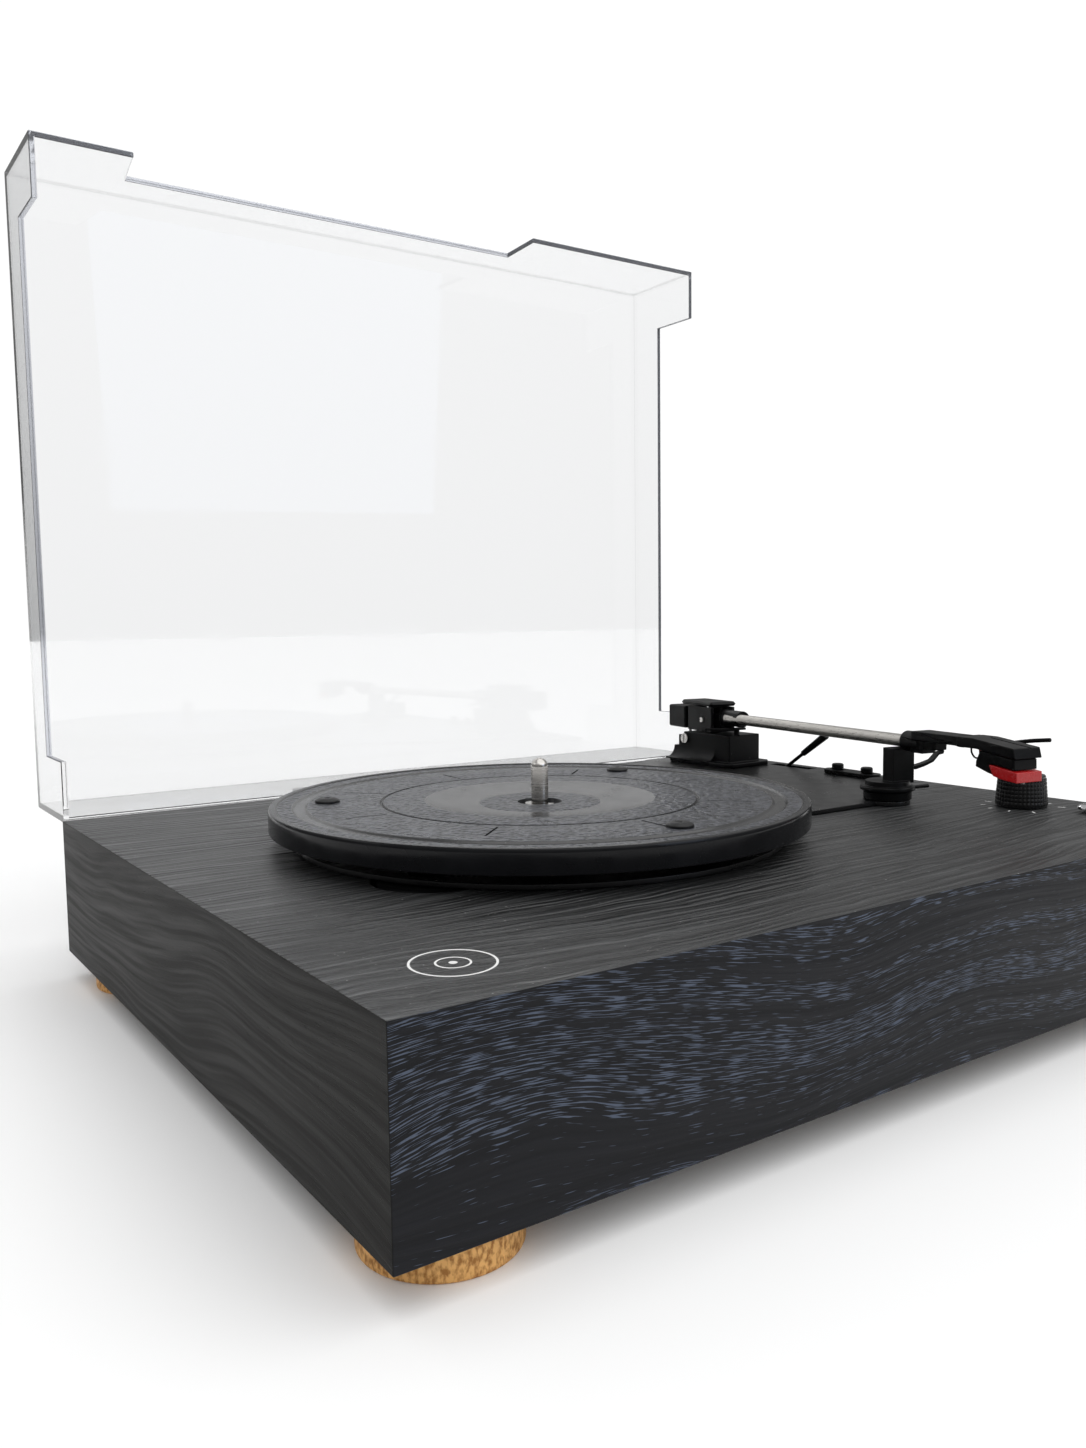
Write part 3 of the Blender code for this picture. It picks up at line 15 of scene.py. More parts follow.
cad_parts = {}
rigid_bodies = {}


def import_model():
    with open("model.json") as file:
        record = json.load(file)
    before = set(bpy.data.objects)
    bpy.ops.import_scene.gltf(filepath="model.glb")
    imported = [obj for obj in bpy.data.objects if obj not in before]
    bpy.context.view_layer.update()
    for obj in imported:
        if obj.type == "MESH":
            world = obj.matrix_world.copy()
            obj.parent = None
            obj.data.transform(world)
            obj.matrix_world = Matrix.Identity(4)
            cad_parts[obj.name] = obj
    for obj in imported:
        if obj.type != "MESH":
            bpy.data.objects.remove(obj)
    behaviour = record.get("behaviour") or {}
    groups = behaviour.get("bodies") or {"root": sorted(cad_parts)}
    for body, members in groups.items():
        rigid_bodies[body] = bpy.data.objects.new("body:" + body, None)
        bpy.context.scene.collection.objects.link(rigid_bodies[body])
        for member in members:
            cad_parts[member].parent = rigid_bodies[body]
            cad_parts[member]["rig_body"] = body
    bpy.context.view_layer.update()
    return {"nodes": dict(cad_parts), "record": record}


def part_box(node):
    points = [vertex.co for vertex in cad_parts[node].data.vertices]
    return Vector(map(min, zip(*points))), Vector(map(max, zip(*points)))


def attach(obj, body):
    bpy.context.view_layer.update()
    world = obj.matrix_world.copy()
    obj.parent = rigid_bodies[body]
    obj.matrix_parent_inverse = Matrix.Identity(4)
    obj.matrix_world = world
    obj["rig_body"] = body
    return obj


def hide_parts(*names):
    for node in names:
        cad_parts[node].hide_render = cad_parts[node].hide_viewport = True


bl_info = {
    "name": "Record player finishes",
    "version": (1, 0, 0),
    "blender": (4, 5, 0),
    "location": "3D View > Sidebar > Record Player",
    "description": "Builds the finished pieces of a belt-drive record player",
    "category": "Object",
}

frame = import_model()
NODES = frame["nodes"]

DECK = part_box("plinth")[1].z
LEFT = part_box("plinth")[0].x
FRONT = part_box("plinth")[0].y


# Heights of the platter's face, rim, hub and lowest edge over the deck.
PLATTER_FACE = 0.0156
PLATTER_CROWN = 0.0161
PLATTER_HUB = 0.0136
PLATTER_FOOT = 0.0071
PLATTER_BORE = 0.00385
MARK_DEPTH = 0.0012

KNOB_TAPER = 0.0011
KNOB_FOOT = 0.0006
KNOB_CROWN = 0.0012

# The printed marks: their gap over the deck, the ticks' angles in degrees and their sizes.
MARK_LIFT = 0.00001
TICKS = 9
FIRST_TICK = 90 - 140
TICK_STEP = 35
TICK_START = 0.0155
LONG_TICK_END = 0.0190
TICK_END = 0.0175
TICK_HALF_WIDTH = 0.00035
DISC_INSET = (0.034, 0.029)
DISC_RINGS = ((0.0120, 64), (0.0113, 64), (0.0050, 40), (0.0044, 40), (0.0012, 24))

# Bevels take edges sharper than this, in degrees: more on round pieces, to spare their facets.
SHARP = 32
SHARP_ROUND = 40
SHARP_GRIP = 50
SHARP_WIRE = 60

# A cover face narrower than this, with no more corners than this, is part of its cut rim.
RIM_WIDTH = 0.0032
RIM_CORNERS = 6

# Cosine over which a face of the plinth counts as facing along an axis.
FACING = 0.7

FLOOR_SIZE = 12.0
KEY_ANGLE = 90
KEY_DIRECTION = (-0.15, 0.45, -1.0)
# Each soft light's name, place, aim, size, share of the window's power, and tint.
SOFT_LIGHTS = (
    ("window_light", (0.9, 1.9, 1.15), (0.0, 0.0, 0.08), 0.6, 1.0, (1.0, 1.0, 1.0)),
    ("front_light", (0.9, -2.2, 0.9), (0.1, 0.0, 0.05), 0.9, 1.4, (0.62, 0.76, 1.0)),
    ("side_light", (-2.0, 0.9, 1.3), (0.0, 0.0, 0.05), 0.9, 1.2, (1.0, 1.0, 1.0)),
)


def middle(node):
    """The centre of a node's box."""
    low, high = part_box(node)
    return (low + high) / 2


def radius_of(node):
    """Half the width of a node's box."""
    low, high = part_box(node)
    return (high.x - low.x) / 2


# ---------------------------------------------------------------- settings

def colour_of(name, description, default):
    return FloatVectorProperty(name=name, description=description, default=default,
                               subtype="COLOR", size=3, min=0.0, max=1.0)


def length_of(name, description, default):
    return FloatProperty(name=name, description=description, default=default,
                         unit="LENGTH", precision=5, min=0.0)


class PlinthSettings(bpy.types.PropertyGroup):
    edge: length_of("Edge", "Width of the plinth's eased edges", 0.0004)
    # Painted cool light: the front's ground is tinted bluish, where the side's ground of the
    # same veneer is warm.
    front: colour_of("Front", "Ground colour of the front veneer", (0.0042, 0.0047, 0.0072))
    # The front's open pores are real grain, but their pale bluish colour, many times lighter
    # than the ground, is a painted reflection of glossy streaks.
    front_pore_painted_reflection: colour_of("Front pores", "Colour of the front's open pores",
                          (0.066, 0.082, 0.118))
    side: colour_of("Side", "Ground colour of the side veneer", (0.0042, 0.0038, 0.0031))
    # Painted sheen: the top's ground is about four times as light as the front's and side's, for
    # the same black veneer.
    top: colour_of("Top", "Ground colour of the top veneer", (0.0170, 0.0175, 0.0180))
    cork: colour_of("Cork", "Light colour of the cork feet", (0.78, 0.44, 0.150))
    cork_dark: colour_of("Cork flecks", "Dark colour between the cork's grains",
                         (0.32, 0.140, 0.034))


class PlatterSettings(bpy.types.PropertyGroup):
    steps: IntProperty(name="Steps", description="Facets round the platter",
                       default=240, min=48, max=720)
    mark_count: IntProperty(name="Marks", description="Radial grooves in the mat ring",
                            default=8, min=0, max=24)
    mark_turn: FloatProperty(name="Turn", description="Angle of the first radial groove",
                             default=math.radians(-2), subtype="ANGLE")
    mark_width: length_of("Mark width", "Width of a radial groove", 0.0009)
    mark_start: length_of("Mark start", "Radius where a radial groove starts", 0.0690)
    mark_end: length_of("Mark end", "Radius where a radial groove ends", 0.0860)
    black: colour_of("Black", "Colour of the platter's plastic", (0.0045, 0.0047, 0.0055))


class ArmSettings(bpy.types.PropertyGroup):
    tube_radius: length_of("Tube radius", "Radius of the arm's visible tube", 0.00295)
    black: colour_of("Black", "Colour of the moulded pieces", (0.0018, 0.0019, 0.0021))
    red: colour_of("Red", "Colour of the stylus holder", (0.40, 0.006, 0.008))
    tube: colour_of("Tube", "Colour of the brushed arm tube", (0.52, 0.50, 0.47))


class ControlSettings(bpy.types.PropertyGroup):
    ribs: IntProperty(name="Ribs", description="Ribs round the volume knob",
                      default=40, min=12, max=120)
    rows: IntProperty(name="Rows", description="Rows of the knob's knurling",
                      default=7, min=2, max=24)
    rib_depth: length_of("Rib depth", "Depth of the knurling", 0.00028)
    mark_height: length_of("Mark height", "Thickness of the printed marks", 0.00004)
    white: colour_of("White", "Colour of the printed marks", (0.80, 0.80, 0.79))


class CoverSettings(bpy.types.PropertyGroup):
    edge: length_of("Edge", "Width of the cover's eased edges", 0.0004)
    clear: colour_of("Clear", "Tint of the acrylic", (0.885, 0.889, 0.894))
    rim: colour_of("Rim", "Tint of the acrylic's cut rim", (0.50, 0.52, 0.58))


class StageSettings(bpy.types.PropertyGroup):
    floor: colour_of("Floor", "Colour of the floor", (0.95, 0.95, 0.95))
    backdrop: FloatProperty(name="Backdrop", description="Brightness of the backdrop",
                            default=1.03)
    sky: FloatProperty(name="Sky", description="Strength of the even light", default=0.62)
    reflected: FloatProperty(name="Reflected", description="Brightness of the room in gloss",
                             default=0.08)
    behind: FloatProperty(name="Behind", description="Brightness behind the cover in gloss",
                          default=0.40)
    key: FloatProperty(name="Key", description="Strength of the soft key light", default=1.85)
    window: FloatProperty(name="Window", description="Power of the large soft light",
                          default=2.6, unit="POWER")
    camera_place: FloatVectorProperty(
        name="Camera", description="Place of the camera", size=3, subtype="TRANSLATION",
        default=(-0.31127, -0.42256, 0.16151))
    camera_yaw: FloatProperty(name="Yaw", description="Camera's turn to the right",
                              default=math.radians(34.5827), subtype="ANGLE")
    camera_pitch: FloatProperty(name="Pitch", description="Camera's tilt down",
                                default=math.radians(5.2557), subtype="ANGLE")
    camera_roll: FloatProperty(name="Roll", description="Camera's roll",
                               default=math.radians(0.7479), subtype="ANGLE")
    lens: FloatProperty(name="Lens", description="Focal length on a 36 mm high picture",
                        default=28.39, min=1.0, unit="CAMERA")


# ---------------------------------------------------------------- finishes

class Finish:
    """A Principled material, with short ways to add nodes to it."""

    def __init__(self, name, colour, roughness, metallic=0.0, **sockets):
        self.material = bpy.data.materials.new(name)
        self.material.use_nodes = True
        self.tree = self.material.node_tree
        self.shader = self.tree.nodes["Principled BSDF"]
        self.feed(self.shader.inputs["Base Color"], (*colour, 1.0))
        self.feed(self.shader.inputs["Roughness"], roughness)
        self.feed(self.shader.inputs["Metallic"], metallic)
        self.use(**sockets)

    def feed(self, socket, value):
        if isinstance(value, bpy.types.NodeSocket):
            self.tree.links.new(value, socket)
        else:
            socket.default_value = value

    def node(self, kind, inputs=(), **settings):
        made = self.tree.nodes.new(kind)
        for key, value in settings.items():
            setattr(made, key, value)
        for key, value in dict(inputs).items():
            self.feed(made.inputs[key], value)
        return made

    def reckon(self, operation, a, b):
        """Arithmetic on two numbers."""
        return self.node("ShaderNodeMath", {0: a, 1: b}, operation=operation).outputs[0]

    def axes(self):
        """The point's X, Y and Z in the object, in metres."""
        place = self.node("ShaderNodeTexCoord").outputs["Object"]
        return self.node("ShaderNodeSeparateXYZ", {0: place}).outputs

    def point(self, x, y, z=0.0):
        return self.node("ShaderNodeCombineXYZ", {0: x, 1: y, 2: z}).outputs[0]

    def spread(self, scale, seed=0.0):
        """The point in the object times a scale per metre, moved on by a seed."""
        place = self.node("ShaderNodeTexCoord").outputs["Object"]
        scales = scale if isinstance(scale, tuple) else (scale, scale, scale)
        moved = self.node("ShaderNodeVectorMath", {0: place, 1: scales, 2: (seed,) * 3},
                          operation="MULTIPLY_ADD")
        return moved.outputs[0]

    def noise(self, place, detail=2.0, roughness=0.5):
        return self.node("ShaderNodeTexNoise", {
            "Vector": place, "Scale": 1.0, "Detail": detail,
            "Roughness": roughness}).outputs["Fac"]

    def cells(self, place, feature="F1"):
        return self.node("ShaderNodeTexVoronoi", {"Vector": place, "Scale": 1.0},
                         feature=feature)

    def span(self, value, low, high, start=0.0, end=1.0):
        """The value's place between low and high, as a number from start to end."""
        return self.node("ShaderNodeMapRange", {
            "Value": value, "From Min": low, "From Max": high, "To Min": start,
            "To Max": end}, clamp=True).outputs["Result"]

    def blend(self, share, a, b):
        """Colour a turned into colour b by a share."""
        made = self.node("ShaderNodeMix", data_type="RGBA")
        self.feed(made.inputs[0], share)
        for socket, value in ((made.inputs[6], a), (made.inputs[7], b)):
            self.feed(socket, value if isinstance(value, bpy.types.NodeSocket)
                      else (*value, 1.0))
        return made.outputs[2]

    def relief(self, height, strength, distance, under=None):
        inputs = {"Height": height, "Strength": strength, "Distance": distance}
        if under is not None:
            inputs["Normal"] = under
        return self.node("ShaderNodeBump", inputs).outputs[0]

    def use(self, **sources):
        for socket, value in sources.items():
            self.feed(self.shader.inputs[socket.replace("_", " ")], value)
        return self.material

    def dust(self, colour, light, amount=0.10, grain=420.0):
        """The colour with a few fine pale specks on it."""
        found = self.cells(self.spread(grain, 3.7))
        near = self.span(found.outputs["Distance"], 0.06, 0.13, 1.0, 0.0)
        pick = self.node("ShaderNodeSeparateXYZ", {0: found.outputs["Color"]}).outputs[0]
        share = self.reckon("MULTIPLY", near, self.span(pick, 1.0 - amount, 1.0, 0.0, 0.8))
        return self.blend(share, colour, light)


def veneer(name, along, across, ground, shade, pore, pores=1.0, sway=0.030, seed=0.0,
           roughness=0.46, specular=0.18, dusty=0.0, dash=(115.0, 2900.0), ridge=0.3,
           rippled=0.04, depth=0.0005):
    """Black open-pore ash: short stretched pores, in bands that wander along the board."""
    finish = Finish(name, ground, roughness, Specular_IOR_Level=specular)
    axes = finish.axes()
    length, width = axes[along], axes[across]

    def grain(line, per_length, per_width, detail, step):
        place = finish.point(finish.reckon("MULTIPLY", length, per_length),
                             finish.reckon("MULTIPLY", line, per_width), seed + step)
        return finish.noise(place, detail)

    wander = finish.reckon("SUBTRACT", grain(width, 4.5, 9.0, 1.5, 0.0), 0.5)
    ripple = finish.reckon("SUBTRACT", grain(width, 34.0, 60.0, 1.0, 3.0), 0.5)
    line = finish.reckon("ADD", width, finish.reckon("MULTIPLY", wander, 2.0 * sway))
    line = finish.reckon("ADD", line, finish.reckon("MULTIPLY", ripple, rippled * sway))
    band = finish.span(grain(line, 2.6, 88.0, 2.0, 5.0), 0.44, 0.56)
    edge = finish.reckon("SUBTRACT", 0.690, finish.reckon("MULTIPLY", band, 0.145 * pores))
    inside = finish.reckon("SUBTRACT", grain(line, *dash, 1.0, 9.0), edge)
    open_pore = finish.span(inside, 0.0, 0.05)
    tone = finish.span(grain(line, 12.0, 420.0, 2.5, 13.0), 0.36, 0.64)
    ground_mix = finish.blend(tone, shade, ground)
    colour = finish.blend(open_pore, ground_mix, pore)
    if dusty:
        colour = finish.dust(colour, (0.55, 0.55, 0.55), dusty)
    fine = finish.noise(finish.spread(2600.0, seed), 1.0)
    shine = finish.span(tone, 0.0, 1.0, roughness + 0.06, roughness - 0.06)
    normal = finish.relief(tone, ridge, depth)
    sunken = finish.reckon("SUBTRACT", finish.reckon("MULTIPLY", fine, 0.25), open_pore)
    normal = finish.relief(sunken, 0.5, 0.00022, normal)
    return finish.use(Base_Color=colour, Roughness=shine, Normal=normal)


def moulded(name, colour, roughness=0.34, grain=0.10, specular=0.11, dusty=0.05):
    """Black moulded plastic with a fine spark-eroded grain and a little dust."""
    finish = Finish(name, colour, roughness, Specular_IOR_Level=specular)
    fine = finish.noise(finish.spread(3800.0), 2.0)
    wide = finish.noise(finish.spread(90.0, 2.0), 3.0)
    tint = finish.blend(finish.span(wide, 0.35, 0.65, 0.0, 0.35), colour,
                        tuple(min(1.0, 1.9 * c) for c in colour))
    shine = finish.span(wide, 0.3, 0.7, roughness - 0.05, roughness + 0.08)
    return finish.use(Base_Color=finish.dust(tint, (0.26, 0.26, 0.26), dusty, 700.0),
                      Roughness=shine, Normal=finish.relief(fine, grain, 0.00012))


def leathery_with_painted_highlights(name, colour):
    """The platter's textured face: a fine wrinkled grain in semi-gloss plastic, with a painted
    highlight on the grain's crests and painted shade in its hollows.
    """
    finish = Finish(name, colour, 0.30, Specular_IOR_Level=0.42)
    wave = finish.noise(finish.spread(330.0, 1.0), 2.5, 0.6)
    fold = finish.cells(finish.spread(480.0, 4.0), "SMOOTH_F1").outputs["Distance"]
    height = finish.reckon("ADD", finish.reckon("MULTIPLY", wave, 1.1), fold)
    worn = finish.span(finish.noise(finish.spread(35.0, 6.0), 3.0), 0.35, 0.65, 0.26, 0.36)
    # Painted highlight and shade: the base colour runs from half the black in the grain's
    # hollows to 14 times it on its crests, so light and shade are painted onto the relief.
    painted_crest_highlight = finish.span(height, 0.62, 1.20)
    tint = finish.blend(painted_crest_highlight, tuple(0.5 * c for c in colour), tuple(14.0 * c for c in colour))
    return finish.use(Base_Color=finish.dust(tint, (0.3, 0.3, 0.3), 0.03, 600.0),
                      Roughness=worn, Normal=finish.relief(height, 1.0, 0.0013))


def cork(name, light, dark):
    """Pressed cork: upright golden grains with brown gaps."""
    finish = Finish(name, light, 0.55, Specular_IOR_Level=0.3)
    grains = finish.noise(finish.spread((820.0, 820.0, 430.0), 2.0), 2.5, 0.6)
    gaps = finish.cells(finish.spread((640.0, 640.0, 380.0))).outputs["Distance"]
    height = finish.reckon("SUBTRACT", grains, finish.reckon("MULTIPLY", gaps, 0.30))
    colour = finish.blend(finish.span(height, 0.20, 0.44), dark, light)
    wide = finish.span(finish.noise(finish.spread(70.0, 8.0), 2.0), 0.3, 0.7, 0.0, 0.30)
    colour = finish.blend(wide, colour, dark)
    return finish.use(Base_Color=colour, Normal=finish.relief(height, 0.55, 0.0005),
                      Roughness=finish.span(height, 0.2, 0.5, 0.66, 0.46))


def metal(name, colour, roughness, stretch=(900.0, 900.0, 60.0), marks=0.12):
    """Turned or brushed metal, with fine marks along its stretch."""
    finish = Finish(name, colour, roughness, metallic=1.0)
    lines = finish.noise(finish.spread(stretch), 3.0, 0.6)
    tint = finish.blend(finish.span(lines, 0.3, 0.7), tuple(0.72 * c for c in colour), colour)
    return finish.use(Base_Color=tint,
                      Roughness=finish.span(lines, 0.3, 0.7, roughness - 0.06, roughness + 0.10),
                      Normal=finish.relief(lines, marks, 0.00006))


def acrylic(name, tint, clearness=1.0, roughness=0.02):
    """Clear cast acrylic with faint handling marks."""
    finish = Finish(name, tint, roughness, Transmission_Weight=clearness, IOR=1.40,
                    Specular_IOR_Level=0.08)
    haze = finish.noise(finish.spread((18.0, 30.0, 22.0), 5.0), 4.0)
    return finish.use(Roughness=finish.span(haze, 0.45, 0.75, roughness, roughness + 0.05))


def glossy(name, colour, roughness=0.22):
    """Plain glossy plastic with slight waviness."""
    finish = Finish(name, colour, roughness)
    wave = finish.noise(finish.spread(420.0), 2.0)
    return finish.use(Roughness=finish.span(wave, 0.3, 0.7, roughness - 0.04, roughness + 0.06),
                      Normal=finish.relief(wave, 0.06, 0.0002))


def pressed_board(name, colour):
    """Brown fibre board."""
    finish = Finish(name, colour, 0.8)
    fibre = finish.noise(finish.spread((700.0, 300.0, 700.0)), 4.0)
    tint = finish.blend(fibre, tuple(0.6 * c for c in colour), tuple(1.4 * c for c in colour))
    return finish.use(Base_Color=tint, Normal=finish.relief(fibre, 0.3, 0.0003))


# The finishes made so far, by name.
MADE = {}


def finish_named(name, maker, *values, **more):
    """The finish of that name, made the first time it is asked for."""
    if name not in MADE:
        MADE[name] = maker(name, *values, **more)
    return MADE[name]


def black_plastic():
    arm = bpy.context.scene.record_player_arm
    return finish_named("satin_black_plastic", moulded, tuple(arm.black))


def bright_steel():
    return finish_named("bright_steel", metal, (0.66, 0.645, 0.62), 0.22)


# ---------------------------------------------------------------- shapes

def show(name, mesh, body, slot, finishes, replaced=()):
    """A finished piece: it rides on its body and stands for the nodes that it replaces."""
    for finish in finishes:
        mesh.materials.append(finish)
    made = bpy.data.objects.new(name, mesh)
    bpy.context.scene.collection.objects.link(made)
    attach(made, body)
    if replaced:
        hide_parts(*replaced)
    return made


def slot_of(node):
    """The record's material slot of a node."""
    return next(part["material_slot"] for part in frame["record"]["subparts"]
                if part["node"] == node)


def mesh_of(name, shape):
    """The shape written to a mesh of that name."""
    mesh = bpy.data.meshes.new(name)
    shape.to_mesh(mesh)
    shape.free()
    return mesh


def mesh_of_curve(name, curve):
    """The mesh that a curve makes. The curve itself is removed."""
    guide = bpy.data.objects.new(name, curve)
    bpy.context.scene.collection.objects.link(guide)
    bpy.context.view_layer.update()
    graph = bpy.context.evaluated_depsgraph_get()
    mesh = bpy.data.meshes.new_from_object(guide.evaluated_get(graph))
    bpy.data.objects.remove(guide)
    bpy.data.curves.remove(curve)
    mesh.name = name
    return mesh


def copied(node):
    """A node's shape as a clean mesh, with its flat faces whole."""
    shape = bmesh.new()
    shape.from_mesh(NODES[node].data)
    bmesh.ops.remove_doubles(shape, verts=shape.verts, dist=1e-6)
    bmesh.ops.dissolve_limit(shape, angle_limit=math.radians(1), verts=shape.verts,
                             edges=shape.edges)
    return shape


def eased(node, name, edge, finish, segments=2, angle=SHARP, more=(), flat=False):
    """A node's shape with eased edges of a width, standing for the node."""
    mesh = mesh_of(name, copied(node))
    mesh.materials.clear()
    made = show(name, mesh, NODES[node]["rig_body"], slot_of(node), (finish, *more), (node,))
    bevel = made.modifiers.new("edges", "BEVEL")
    bevel.width = edge
    bevel.segments = segments
    bevel.limit_method = "ANGLE"
    bevel.angle_limit = math.radians(angle)
    bevel.use_clamp_overlap = False
    if flat:
        mesh.shade_flat()
        return made
    mesh.shade_smooth()
    even = made.modifiers.new("normals", "WEIGHTED_NORMAL")
    even.weight = 100
    return made


def rounded(node, name, edge, finish):
    """A node's shape with its sharp edges eased and its round faces left whole."""
    return eased(node, name, edge, finish, angle=SHARP_ROUND)


def lathe(name, profile, steps, centre, zone=None):
    """A mesh turned about Z from (radius, z) points; zone gives a face's finish number."""
    shape = bmesh.new()
    points = [shape.verts.new((centre.x + r, centre.y, z)) for r, z in profile]
    edges = [shape.edges.new(pair) for pair in zip(points, points[1:])]
    bmesh.ops.spin(shape, geom=[*points, *edges], cent=(centre.x, centre.y, 0),
                   axis=(0, 0, 1), steps=steps, angle=math.tau, use_merge=False)
    bmesh.ops.remove_doubles(shape, verts=shape.verts, dist=1e-6)
    bmesh.ops.recalc_face_normals(shape, faces=shape.faces)
    if zone:
        for face in shape.faces:
            spot = face.calc_center_median()
            reach = math.hypot(spot.x - centre.x, spot.y - centre.y)
            face.material_index = zone(reach, spot.z)
    mesh = mesh_of(name, shape)
    mesh.shade_smooth()
    mesh.set_sharp_from_angle(angle=math.radians(50))
    return mesh


def filleted(corners, pieces=4):
    """The profile's points, with each (r, z, fillet) corner rounded by its fillet."""
    points = []
    for k, (r, z, fillet) in enumerate(corners):
        if not fillet or k in (0, len(corners) - 1):
            points.append((r, z))
            continue
        here = Vector((r, z))
        before = Vector(corners[k - 1][:2]) - here
        after = Vector(corners[k + 1][:2]) - here
        reach = min(fillet, 0.49 * before.length, 0.49 * after.length)
        start, end = here + before.normalized() * reach, here + after.normalized() * reach
        for j in range(pieces + 1):
            t = j / pieces
            points.append(tuple(start * (1 - t) ** 2 + here * 2 * t * (1 - t) + end * t * t))
    return points


def tube_mesh(name, points, radius, sides):
    """A round rod through points, with closed ends."""
    curve = bpy.data.curves.new(name, "CURVE")
    curve.dimensions = "3D"
    curve.bevel_depth = radius
    curve.bevel_resolution = max(1, sides // 4 - 1)
    curve.use_fill_caps = True
    spline = curve.splines.new("POLY")
    spline.points.add(len(points) - 1)
    for place, point in zip(spline.points, points):
        place.co = (*point, 1)
    mesh = mesh_of_curve(name, curve)
    mesh.shade_smooth()
    mesh.set_sharp_from_angle(angle=math.radians(60))
    return mesh


def flat_shape(name, loops, bottom, top):
    """Flat outlines with their holes, raised from bottom to top."""
    curve = bpy.data.curves.new(name, "CURVE")
    curve.dimensions = "2D"
    curve.fill_mode = "BOTH"
    curve.extrude = (top - bottom) / 2
    for points in loops:
        spline = curve.splines.new("POLY")
        spline.points.add(len(points) - 1)
        for place, (x, y) in zip(spline.points, points):
            place.co = (x, y, 0, 1)
        spline.use_cyclic_u = True
    mesh = mesh_of_curve(name, curve)
    shape = bmesh.new()
    shape.from_mesh(mesh)
    bmesh.ops.remove_doubles(shape, verts=shape.verts, dist=1e-7)
    bmesh.ops.translate(shape, vec=(0, 0, (top + bottom) / 2), verts=shape.verts)
    bmesh.ops.recalc_face_normals(shape, faces=shape.faces)
    shape.to_mesh(mesh)
    shape.free()
    mesh.materials.clear()
    return mesh


def ring(x, y, radius, count):
    """A circle of points."""
    return [(x + radius * math.cos(math.tau * k / count),
             y + radius * math.sin(math.tau * k / count)) for k in range(count)]


# ---------------------------------------------------------------- plinth and feet

def build_plinth(settings):
    # Front veneer: its pores carry a pale bluish painted reflection of glossy streaks.
    front = veneer("veneer_front", 0, 2, tuple(settings.front),
                   tuple(0.6 * c for c in settings.front), tuple(settings.front_pore_painted_reflection),
                   seed=1.0, specular=0.20)
    side = veneer("veneer_side", 1, 2, tuple(settings.side),
                  tuple(0.85 * c for c in settings.side), tuple(0.85 * c for c in settings.side),
                  pores=0.5, seed=21.0, roughness=0.5, specular=0.12, ridge=0.10)
    # Painted sheen: the top veneer's ground is raised to 2.5 times the top colour, far lighter
    # than the same veneer on the front and side.
    top = veneer("veneer_top", 0, 1, tuple(2.5 * c for c in settings.top),
                 tuple(0.25 * c for c in settings.top), tuple(0.2 * c for c in settings.top),
                 pores=0.8, sway=0.022, seed=41.0, roughness=0.40, specular=0.5, dusty=0.35,
                 dash=(70.0, 1500.0), ridge=1.0, rippled=0.22, depth=0.0010)
    made = eased("plinth", "plinth_case", settings.edge, front, more=(side, top))
    for face in made.data.polygons:
        if abs(face.normal.z) > FACING:
            face.material_index = 2
        elif abs(face.normal.x) > FACING:
            face.material_index = 1
    board = finish_named("pressed_board", pressed_board, (0.10, 0.075, 0.055))
    eased("base_board", "base_panel", 0.0003, board)


def build_feet(settings):
    finish = finish_named("cork_foot", cork, tuple(settings.cork), tuple(settings.cork_dark))
    for place in ("front_left", "front_right", "rear_left", "rear_right"):
        node = f"foot_{place}"
        low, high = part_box(node)
        radius = radius_of(node)
        profile = filleted([(0, high.z, 0), (radius, high.z, 0.0009), (radius, low.z, 0.0012),
                            (0, low.z, 0)])
        show(f"cork_{node}", lathe(node, profile, 96, middle(node)), "chassis", "cork",
             (finish,), (node,))


# ---------------------------------------------------------------- platter and bearing

def platter_profile(radius):
    """The platter's section, from the bore over the top, round the rim and back underneath."""
    face, crown, hub = DECK + PLATTER_FACE, DECK + PLATTER_CROWN, DECK + PLATTER_HUB
    seat, under, low_under = hub - 0.0014, face - 0.0030, hub - 0.0024
    bottom, bore = DECK + PLATTER_FOOT, PLATTER_BORE
    dish = [(0.0250 + 0.0220 * t, hub + (face - hub) * t ** 2.2, 0)
            for t in (k / 10 for k in range(11))]
    ledge, belt_rim, collar = hub + 0.0003, DECK + 0.0067, DECK + 0.0076
    groove, channel = face - 0.0008, face - 0.0009
    over = [(bore, seat, 0), (0.0085, seat, 0.0002), (0.0091, ledge, 0.0003),
            (0.0236, ledge, 0.0003), *dish[:-1], (0.0470, face, 0.0006),
            (0.0643, face, 0.0003), (0.0647, groove, 0.0001), (0.0653, groove, 0.0001),
            (0.0657, face, 0.0003), (0.0945, face, 0.0004), (0.0955, channel, 0.0003),
            (0.0995, channel, 0.0003), (0.1005, face, 0.0004)]
    rim = [(radius - 0.0034, face, 0.0002), (radius - 0.0028, crown, 0.0003),
           (radius - 0.0004, crown, 0.0004), (radius, crown - 0.0012, 0.0006),
           (radius, bottom, 0.0005), (radius - 0.0030, bottom, 0.0003),
           (radius - 0.0034, under, 0.0003)]
    below = [(0.069, under, 0.0002), (0.069, belt_rim, 0.0002), (0.066, belt_rim, 0.0002),
             (0.066, under, 0.0002), (0.0426, under, 0.0004), (0.0326, low_under, 0.0003),
             (0.0095, low_under, 0.0002), (0.0095, collar, 0.0001), (bore, collar, 0),
             (bore, seat, 0)]
    return filleted(over + rim + below, 3)


